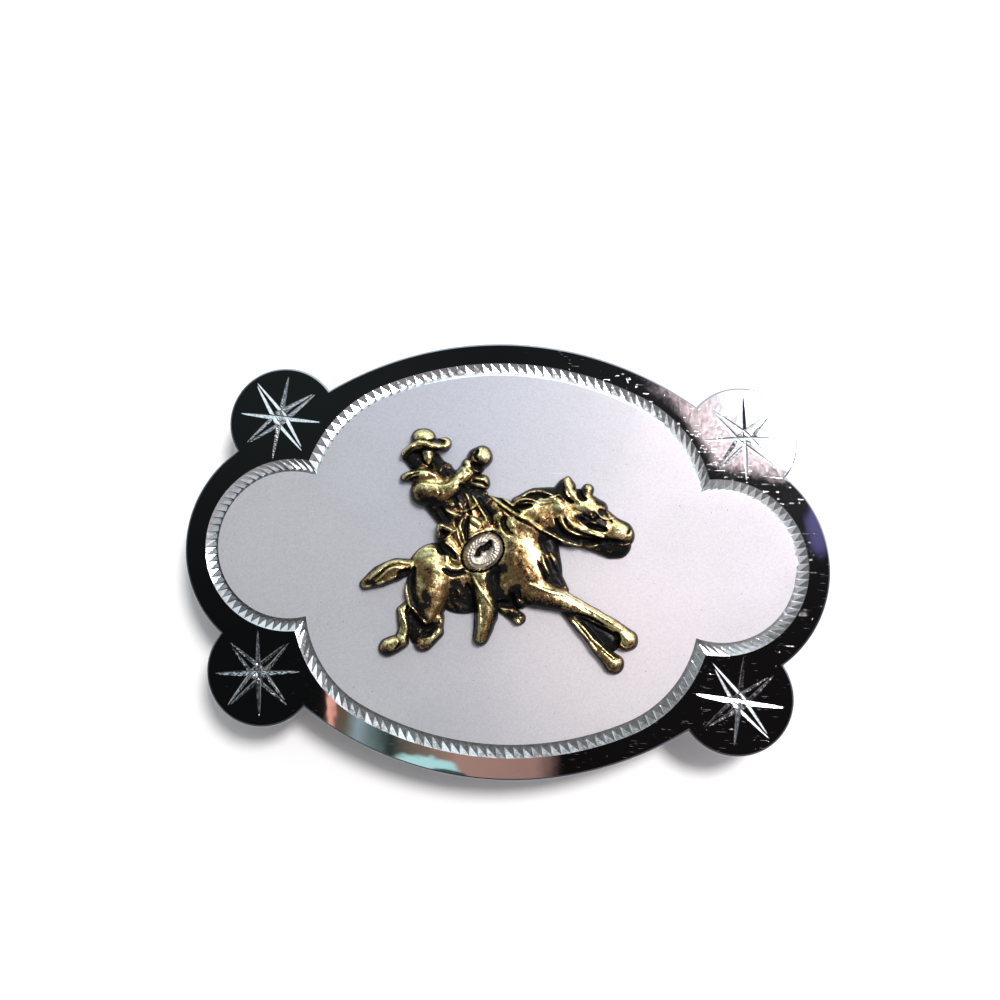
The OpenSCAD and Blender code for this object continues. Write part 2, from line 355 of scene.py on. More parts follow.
def cut_material(name, chatter, low, high, metallic=1.0):
    """Bright cut metal: low and high are the ends of its grey, and a dark pair makes a painted-shade copy;
    metallic below 1 shows a dull film. Towards the plate's left it is darkened as painted shade.
    """
    m, tree = new_material(name)
    shade = noise(tree, 1500, 2)
    greys = [(0.94 * level, 0.975 * level, level) for level in (low, high)]
    tint = blend_colour(tree, ramp(tree, shade, 0.35, 0.65), *greys)
    # painted shade: darker towards the plate's left
    for middle, reach, level in LEFT_SHADE:
        tint = blend_colour(tree, near_place(tree, middle, reach), tint, (level, level, level), "MULTIPLY")
    rough = ramp(tree, shade, 0.3, 0.7, 0.1, 0.2)
    return finish_material(m, tint, rough, metallic, [(noise(tree, 3200, 1), chatter, 0.00006)])


def frosted_material():
    """Fine matt grain, with painted light: brighter towards the right and in a pool at the lower right,
    and a painted bluish cast at the top left.
    """
    m, tree = new_material("frosted_nickel")
    grain = noise(tree, 9000, 2)
    cloud = noise(tree, 70, 3)
    speckle = noise(tree, 4500, 2, 0.7)
    pits = ramp(tree, noise(tree, 2600, 1), 0.762, 0.79)
    marks = math_node(tree, "MULTIPLY", scratches(tree, 10, 400, 0.72, 0.8), 0.35)
    # painted light: a brighter pool at the lower right, a bluish cast at the top left and, below,
    # brightening towards the right
    painted_light_pool = near_place(tree, (0.017, -0.013, 0.0088), 0.03)
    sky = near_place(tree, (-0.009, 0.024, 0.0088), 0.034)
    tint = blend_colour(tree, towards_right(tree), (0.39, 0.40, 0.42), (0.44, 0.418, 0.438))
    tint = blend_colour(tree, ramp(tree, cloud, 0.3, 0.7, 0, 0.5), tint, (0.42, 0.42, 0.43))
    tint = blend_colour(tree, painted_light_pool, tint, (0.53, 0.50, 0.512))
    tint = blend_colour(tree, sky, tint, (0.97, 1.0, 1.06), "MULTIPLY")
    tint = blend_colour(tree, ramp(tree, speckle, 0.3, 0.7), tint, (0.86, 0.86, 0.87), "MULTIPLY")
    tint = blend_colour(tree, pits, tint, (0.16, 0.15, 0.15))
    tint = blend_colour(tree, marks, tint, (0.75, 0.75, 0.77))
    rough = ramp(tree, cloud, 0.3, 0.7, 0.5, 0.56)
    return finish_material(m, tint, rough, 0.5, [(grain, 0.35, 0.00003), (pits, -0.4, 0.00005)], 0.2)


def satin_material():
    m, tree = new_material("satin_nickel")
    cloud = noise(tree, 180, 3)
    lines = noise(tree, 900, 2, where=place(tree, (0.3, 6, 6)))
    tint = blend_colour(tree, ramp(tree, cloud, 0.3, 0.75), (0.64, 0.63, 0.61), (0.50, 0.49, 0.48))
    rough = ramp(tree, cloud, 0.3, 0.7, 0.25, 0.42)
    return finish_material(m, tint, rough, 1.0, [(lines, 0.25, 0.00004)])


def stored(tree, name):
    """A value that the mesh's points carry."""
    node = tree.nodes.new("ShaderNodeAttribute")
    node.attribute_name = name
    return node.outputs["Fac"]


def brass_material():
    """Cast brass, bright where the stored wear is high and black where it is low; that stored value holds
    real wear and patina together with painted light and shade.
    """
    m, tree = new_material("antique_cast_brass")
    pale = stored(tree, "pale")
    blotch, grit = noise(tree, 1300, 3, 0.65), noise(tree, 4200, 3, 0.65)
    shift = math_node(tree, "ADD", math_node(tree, "MULTIPLY_ADD", blotch, 1.5, -0.75),
                      math_node(tree, "MULTIPLY_ADD", grit, 1.3, -0.65))
    level = math_node(tree, "ADD", stored(tree, "wear"), shift)
    bare = ramp(tree, level, 0.3, 0.44)
    brass = blend_colour(tree, ramp(tree, level, 0.57, 1.1), (0.34, 0.20, 0.08), (1.0, 0.92, 0.46))
    brass = blend_colour(tree, pale, brass, (0.58, 0.52, 0.43))
    colour = blend_colour(tree, bare, (0.005, 0.005, 0.005), brass)
    rough = math_node(tree, "MULTIPLY_ADD", grit, 0.3, 0.15)
    rough = math_node(tree, "MULTIPLY_ADD", pale, 0.2, rough)
    return finish_material(m, colour, rough, bare, [(blotch, 0.15, 0.0002), (grit, 0.2, 0.00006)], 0.08)


def paper_material():
    m, tree = new_material("pale_floor")
    cloud = noise(tree, 6, 3)
    tint = blend_colour(tree, ramp(tree, cloud, 0.3, 0.7), (0.66, 0.65, 0.65), (0.645, 0.64, 0.64))
    return finish_material(m, tint, 0.8, 0.0, [(noise(tree, 1500, 3), 0.15, 0.00005)])


mirror_nickel = polished_material("mirror_nickel", (0.86, 0.85, 0.85), (0.80, 0.80, 0.81), 0.15)
# The side wall and rounded edge: a darker copy of the mirror polish, painted shade so that the outline
# shows as a dark line
painted_shade_edge_nickel = polished_material("painted_shade_edge_nickel", (0.34, 0.36, 0.40), (0.26, 0.27, 0.30), 0.3)
cut_nickel = cut_material("star_cut_nickel", 0.45, 0.65, 0.85)
border_nickel = cut_material("border_cut_nickel", 0.1, 0.7, 0.84, 0.84)
# A darker copy of the border metal: painted shade on the facets turned from the light
painted_shade_border_nickel = cut_material("border_painted_shade_nickel", 0.1, 0.34, 0.46, 0.8)
frosted_nickel = frosted_material()
satin_nickel = satin_material()
cast_brass = brass_material()


# Cut border: a groove of slanting facets, one bright fin and one hollow to each tooth, where the facets
# turned from the light get a darker copy of the metal as painted shade

def cut_border():
    """Points, faces and metals of the groove, and its outer and inner edge loops."""
    outer_runs, inner_runs = field_runs(BORDER_W), field_runs(0)
    points, faces, outer_faces, outer_loop, inner_loop = [], [], [], [], []

    def row(run, n, where):
        """Indices of one kind of point, for every tooth of a run."""
        along_pitch, across, depth, wobble = where
        share = (np.arange(n + 1) + along_pitch + rng.uniform(-wobble, wobble, n + 1)) / n
        share[0], share[-1] = max(share[0], 0), min(share[-1], 1)
        xy = along(outer_runs[run], share) * (1 - across) + along(inner_runs[run], share) * across
        deeper = 1
        for values, (start, over) in zip(xy.T, (DEEPER_X, DEEPER_Y)):
            deeper = deeper * np.clip((values - start) / over, 0, 1)
        z = -depth * (1 + LEFT_DEEPER * deeper) * rng.uniform(0.9, 1.1, n + 1)
        first = len(points)
        points.extend(np.column_stack([xy, TOP_Z + z]))
        return list(range(first, first + n + 1))

    def corner(run, end):
        xy = (outer_runs[run][end] + inner_runs[run][end]) / 2
        points.append(np.array([*xy, TOP_Z - END_DEPTH]))
        return len(points) - 1

    for run in range(4):
        length = np.hypot(*np.diff(outer_runs[run], axis=0).T).sum()
        n = round(length / (PITCH_LONG if run % 2 else PITCH_LOBE))
        o, v, g, i, j = (row(run, n, kind) for kind in (OUTER, VALLEY, SHOULDER, INNER_NEAR, INNER_FAR))
        points[i[0]] = np.array([*inner_runs[run][0], TOP_Z])
        points[i[n]] = np.array([*inner_runs[run][-1], TOP_Z])
        start, stop = corner(run, 0), corner(run, -1)
        for k in range(n):
            outer_faces.append((o[k], o[k + 1], v[k]))
            faces += [(v[k], o[k + 1], g[k + 1]), (v[k], g[k + 1], j[k])]
            faces += [(g[k + 1], i[k + 1], j[k]), (v[k], j[k], i[k])]
            if k:
                faces += [(o[k], v[k], g[k]), (v[k], i[k], g[k])]
            outer_loop.append(points[o[k]][:2])
            inner_loop += [points[i[k]][:2], points[j[k]][:2]]
        faces += [(o[0], v[0], start), (start, v[0], i[0])]
        faces += [(o[n], stop, g[n]), (g[n], stop, i[n])]
    points = np.array(points)
    upright, tones = [], []
    for is_outer, f in [(False, f) for f in faces] + [(True, f) for f in outer_faces]:
        a, b, c = points[list(f)]
        down = np.cross(b - a, c - a)[2] < -UPRIGHT_TOL
        upright.append(f[::-1] if down else f)
        # facets turned from the light get material 1, the painted-shade copy
        tones.append(int(is_outer == ((a + b + c) @ LIT_SIDE > 0)))
    return points, upright, tones, np.array(outer_loop), np.array(inner_loop)


# Stars: eight rays of one or two tapered cuts each

def star_mids():
    for side in (-1, 1):
        for end in (-1, 1):
            yield side * end, np.array([side * (DISC_X + STAR_OUT), end * (DISC_Y + STAR_OUT)])


def star_strokes():
    """Every cut of every star: tip, inner end, half width, the broad facet's side, slope share."""
    strokes = []
    for turn, mid in star_mids():
        for ray, (beside, half, side, steep) in enumerate(RAYS):
            a = math.radians(ray * 45 + turn * STAR_TURN + rng.uniform(*RAY_TURN_OFF))
            out, across = np.array([math.cos(a), math.sin(a)]), np.array([-math.sin(a), math.cos(a)])
            for hand in ((-1, 1) if beside else (0,)):
                tip = mid + out * (RAY_LEN + rng.uniform(*RAY_LEN_OFF)) + across * hand * TIP_SPREAD
                if hand > 0:
                    tip = tip - out * rng.uniform(*SECOND_SHORTER)
                inner = mid + across * hand * beside - out * PASS_MIDDLE
                strokes.append((tip, inner, half * rng.uniform(*WIDTH_OFF), side, steep))
    return strokes


def half_at(s, half):
    return half * np.clip(s, 0, 1) ** 0.5


def stroke_depth(xy, tip, inner, half, side, steep):
    """How deep one cut is at each point: a broad slanting facet and a steep one."""
    axis = inner - tip
    length = math.hypot(*axis)
    axis = axis / length
    rel = xy - tip
    s = rel @ axis / length
    t = rel @ np.array([-axis[1], axis[0]]) * side
    w = half_at(s, half) + 1e-9
    deep = CUT_SLOPE * steep * (1 + CUT_FLOOR) * w
    facet = np.minimum((w - t) / ((1 + CUT_FLOOR) * w), (w + t) / ((1 - CUT_FLOOR) * w))
    return deep * np.clip(facet, 0, 1) * np.clip((RUN_OUT - s) / (RUN_OUT - 1), 0, 1) * (s > 0)


def star_depth(xy, strokes):
    deep = np.zeros(len(xy))
    for tip, inner, half, side, steep in strokes:
        near = np.hypot(*(xy - (tip + inner) / 2).T) < RAY_LEN
        one = stroke_depth(xy[near], tip, inner, half, side, steep)
        deep[near] = np.maximum(deep[near], one)
    return deep


def inside(poly, xy):
    """Whether each point lies inside a closed polygon."""
    x, y = xy[:, 0], xy[:, 1]
    hit = np.zeros(len(xy), bool)
    for a, b in zip(poly, np.roll(poly, -1, axis=0)):
        if a[1] == b[1]:
            continue
        cross = (a[1] > y) != (b[1] > y)
        hit ^= cross & (x < (b[0] - a[0]) * (y - a[1]) / (b[1] - a[1]) + a[0])
    return hit


def top_face(rim, border_loop, strokes):
    """The polished face between rim and border, with the star cuts in it."""
    verts, edges = [], []

    def add_line(line, closed=True):
        """Adds joined points and returns the number of the first."""
        first = len(verts)
        verts.extend(tuple(p) for p in line)
        edges.extend((first + k, first + k + 1) for k in range(len(line) - 1))
        if closed:
            edges.append((first + len(line) - 1, first))
        return first

    add_line(rim)
    add_line(border_loop)
    for tip, inner, half, side, _ in strokes:
        length = math.hypot(*(inner - tip))
        axis = (inner - tip) / length
        across = np.array([-axis[1], axis[0]]) * side

        def beside(s, share):
            return tip + axis * length * s + across * half_at(s, half) * share

        ring = [tip] + [beside(s, 1) for s in STATIONS] + [tip + axis * length * RUN_OUT]
        start = add_line(ring + [beside(s, -1) for s in reversed(STATIONS)])
        edges.append((start, len(verts)))
        add_line([beside(s, -CUT_FLOOR) for s in STATIONS], closed=False)
    # a grid of points near the stars' middles, where cuts cross
    steps = np.arange(-STAR_GRID_HALF, STAR_GRID_HALF, STAR_GRID)
    square = np.stack([axis.ravel() for axis in np.meshgrid(steps, steps)], 1)
    for _, mid in star_mids():
        grid = square + mid
        grid = grid[np.hypot(*(grid - mid).T) < STAR_GRID_R]
        verts += [tuple(p) for p in grid[star_depth(grid, strokes) > STAR_GRID_DEPTH]]
    out = delaunay_2d_cdt([Vector(v) for v in verts], edges, [], 0, 1e-5)
    xy = np.array([tuple(v) for v in out[0]])
    tris = np.array([f for f in out[2] if len(f) == 3])
    centre = xy[tris].mean(1)
    keep = inside(rim, centre) & ~inside(border_loop, centre)
    tris, centre = tris[keep], centre[keep]
    deep = star_depth(xy, strokes)
    cut = star_depth(centre, strokes) > CUT_TOL
    z = np.where(deep > CUT_TOL, TOP_Z - deep, TOP_Z)
    return np.column_stack([xy, z]), tris, cut


def loft(rings):
    """Quads between neighbouring rings of (inset, z)."""
    loops = []
    for inset, z in rings:
        loop = plate_outline(inset)
        loops.append(np.column_stack([loop, np.full(len(loop), z)]))
    count = len(loop)
    faces = []
    for r in range(len(rings) - 1):
        for k in range(count):
            a, b = r * count + k, r * count + (k + 1) % count
            faces.append((a, b, b + count, a + count))
    return np.vstack(loops), faces


def quarter(z, rise):
    """Rings of a rounded edge from the side wall in to the flat face."""
    turns = [math.pi / 2 * k / ROUND_STEPS for k in range(ROUND_STEPS + 1)]
    return [(EDGE_ROUND * (1 - math.cos(t)), z + rise * math.sin(t)) for t in turns]


def build_plate():
    border_points, border_faces, border_tones, border_loop, field_loop = cut_border()
    strokes = star_strokes()
    rim = plate_outline(EDGE_ROUND)
    top, tris, cut = top_face(rim, border_loop, strokes)
    wall, wall_faces = loft(quarter(BACK_Z + EDGE_ROUND, -EDGE_ROUND)[::-1]
                            + quarter(TOP_Z - EDGE_ROUND, EDGE_ROUND))
    base, walls = len(top), len(wall_faces)
    # the metals' order, and the faces: the top, the side wall and the flat back
    metals = [mirror_nickel, cut_nickel, satin_nickel, painted_shade_edge_nickel]
    faces = [tuple(t) for t in tris]
    faces += [tuple(base + v for v in f) for f in wall_faces]
    faces.append(tuple(base + k for k in reversed(range(len(rim)))))
    face_mat = [int(c) for c in cut] + [3] * walls + [2]
    smooth = [False] * len(tris) + [True] * walls + [False]
    field_points = np.column_stack([field_loop, np.full(len(field_loop), TOP_Z)])
    pieces = [
        make_object("plate_body", np.vstack([top, wall]), faces, metals, face_mat, smooth),
        make_object("zigzag_border", border_points, border_faces, [border_nickel, painted_shade_border_nickel],
                    border_tones, [False] * len(border_faces)),
        make_object("frosted_field", field_points, [tuple(range(len(field_loop)))], [frosted_nickel]),
    ]
    for obj in pieces:
        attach(obj, "root")
        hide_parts("plate")


build_plate()

# Rider and horse. Forms are rounded lumps swept through stations; columns: x, y, half width, height.
# x and y are as seen from the camera on the plate's face; each point is then moved in for its height.
FORMS = {
    "barrel": [[-9.8, -2.6, 3.9, 2.3], [-5.6, -3.9, 4.9, 1.7], [-1, -2.9, 5, 2], [3, -2.2, 4.9, 2.6]],
    "shoulder": [[2.2, 0.6, 4.2, 2.7], [3.8, -2.4, 4, 2.8], [5.2, -4.7, 2.8, 2.6]],
    "neck": [[1.8, 3.2, 3.8, 2.4], [5.2, 5.4, 3.5, 2.5], [8.4, 6.4, 3.1, 2.5]],
    "chest": [[6.2, 2, 1.9, 1.5], [6.9, -1, 1.8, 1.6], [7.4, -3, 1.5, 1.5], [9.2, -4.6, 0.7, 1.2]],
    "skull": [[9.2, 5.7, 3, 2.5], [12, 5.9, 3, 2.7], [15.2, 4.5, 2.3, 2.3], [17.2, 3.9, 2, 2.3]],
    "jaw": [[8.6, 4.4, 2.6, 2.1], [12.2, 3.6, 2, 1.8], [15.7, 2.1, 1.7, 1.5], [16.8, 2.4, 1.9, 1.6]],
    "near_ear": [[8.4, 9.2, 1.8, 2.3], [8.9, 10.5, 1.4, 2.1], [9.1, 11.7, 0.5, 1.7]],
    "far_ear": [[11.7, 9.4, 1.1, 1.7], [12.1, 10.4, 0.85, 1.6]],
    "poll": [[9.4, 8.9, 1.5, 2.1], [11.4, 8.9, 1.5, 2]],
    "forelock": [[11.6, 8.4, 1.5, 2.3], [13.6, 7.4, 1.5, 2.2]],
    "mane": [[1.7, 8, 0.8, 1.7], [4.3, 8.9, 1.3, 1.9], [7.2, 9.1, 1.3, 2]],
    "near_fore": [[5.6, -5.1, 2.3, 2.7], [9.6, -6.4, 1.5, 2.5], [13.4, -7.9, 1.15, 2.2],
                  [16.8, -9.6, 1.1, 2.1]],
    "near_fore_hoof": [[17.4, -10, 1.1, 2.1], [18.6, -11.3, 1.6, 2.2]],
    "far_fore": [[9.6, -7.4, 0.9, 1.3], [13.2, -11, 0.9, 1.5], [14.8, -12.9, 1, 1.6]],
    "far_fore_hoof": [[15.3, -13.5, 1, 1.6], [16.8, -14.7, 1.5, 1.8]],
    "fore_web": [[10.4, -8, 0.8, 0.8], [14.4, -10.4, 1.6, 0.8], [16, -11.6, 1.6, 0.8]],
    "thigh": [[-10.1, -3.2, 3.4, 2.8], [-10.7, -5.9, 3.5, 2.9], [-10.4, -9, 2, 2.5]],
    "near_hind": [[-9.2, -9.6, 1.2, 2], [-9.3, -11.6, 1.3, 1.8], [-10.9, -13.2, 1.4, 1.9]],
    "far_hind": [[-13, -7.9, 1, 1.4], [-14.3, -8.9, 0.9, 1.6], [-13.8, -11.4, 0.9, 1.7],
                 [-14.2, -13.2, 1.1, 1.8]],
    "far_hind_hoof": [[-14.2, -13.3, 1.2, 1.8], [-16, -14.2, 1.4, 1.9]],
    "hind_web": [[-12.2, -9.8, 1.4, 0.8], [-11.6, -12.4, 1.3, 0.8]],
    "tail": [[-13, -2.2, 0.9, 1.5], [-15.6, -2.9, 1.7, 2], [-17.8, -4, 1.6, 1.9],
             [-20, -5.3, 0.9, 1.4]],
    "trunk": [[-11.2, 9.7, 2.7, 2.1], [-8.4, 7.6, 3.4, 2.2], [-6.2, 5.2, 3.4, 2.1],
              [-5.6, 2.6, 3.6, 2.2]],
    "bust": [[-10, 12, 1.6, 1.7], [-8.2, 10, 2.2, 1.9], [-5, 7.8, 2.6, 2]],
    "withers": [[-3.2, 7, 1.8, 1.6], [0, 6.4, 1.9, 1.8], [-2.6, 4.4, 1.6, 1.8]],
    "cantle": [[-9.5, 2.2, 0.6, 2], [-9.4, 3.8, 0.6, 2.4], [-7.9, 3.3, 0.6, 2.5]],
    "saddle": [[-8.2, 1.4, 1.7, 2.4], [-6.6, -0.8, 1.8, 2.3]],
    "rider_leg": [[-3.1, -2.4, 2.1, 2.8], [-2.5, -5.8, 1.9, 2.9], [-1.9, -9, 1.7, 2.6],
                  [-2.6, -12.1, 1.2, 2.1]],
    "far_boot": [[0.6, -7.6, 1, 1.1], [2.8, -9, 1, 1.4]],
    "belly_shade": [[0.2, -6.2, 1.2, 1], [3, -6.2, 1.4, 1.6]],
    "rein_arm": [[-5.6, 10.4, 1.2, 1.9], [-3.7, 10.6, 1.3, 2.3]],
    "raised_arm": [[-12.1, 8.8, 2.15, 2.8], [-9.7, 8.7, 1.9, 3], [-8, 9.5, 1.7, 3],
                   [-6, 12, 1.35, 2.9]],
    "fist": [[-4.6, 14.3, 1.5, 2.6], [-3.9, 14.5, 1.65, 2.8]],
    "wrist": [[-5.9, 13.2, 1, 2.2], [-4.4, 12.9, 1.1, 2]],
    "neckerchief": [[-15.3, 10.75, 0.6, 1.6], [-14.1, 11.1, 0.95, 2.1],
                    [-12.3, 11.3, 1.1, 2.3], [-10.9, 11.3, 1, 1.9]],
    "hat_under": [[-14.7, 14.1, 1.2, 1.2], [-13.7, 13.4, 1.4, 1.3], [-12.4, 12.9, 1.1, 1.3]],
    "head": [[-12, 14.6, 1.2, 2.2], [-11.95, 13.9, 1, 2.3], [-11.9, 13.4, 0.7, 2]],
    "throat": [[-10.9, 13.6, 1.1, 1.4], [-10.2, 12.7, 1.2, 1.5], [-9, 12.4, 0.9, 1.5]],
    "crown": [[-13.2, 16.9, 1.45, 2.7], [-12.4, 16.9, 1.5, 2.8]],
    "brim": [[-15.2, 14.4, 0.8, 1.7], [-14.2, 15.4, 0.8, 2.2], [-12.8, 15.75, 0.8, 2.4],
             [-11, 15.9, 0.9, 2.3], [-9.6, 16.1, 1.1, 2.2]],
    "waistcoat": [[-4.7, 4.9, 0.9, 2.5], [-3.8, 4.4, 0.9, 2.5]],
    "horn": [[-1.8, 5, 0.9, 2.3], [-0.8, 6, 0.8, 2.8]],
}
# Neighbouring forms of one body melt together over this height difference
SOFT_JOIN = 0.7
HARD_JOIN = 0.12
SOFT_FORMS = {"shoulder", "neck", "near_fore", "skull", "jaw", "barrel", "poll", "forelock",
              "near_fore_hoof", "far_hind_hoof", "far_fore_hoof", "crown"}

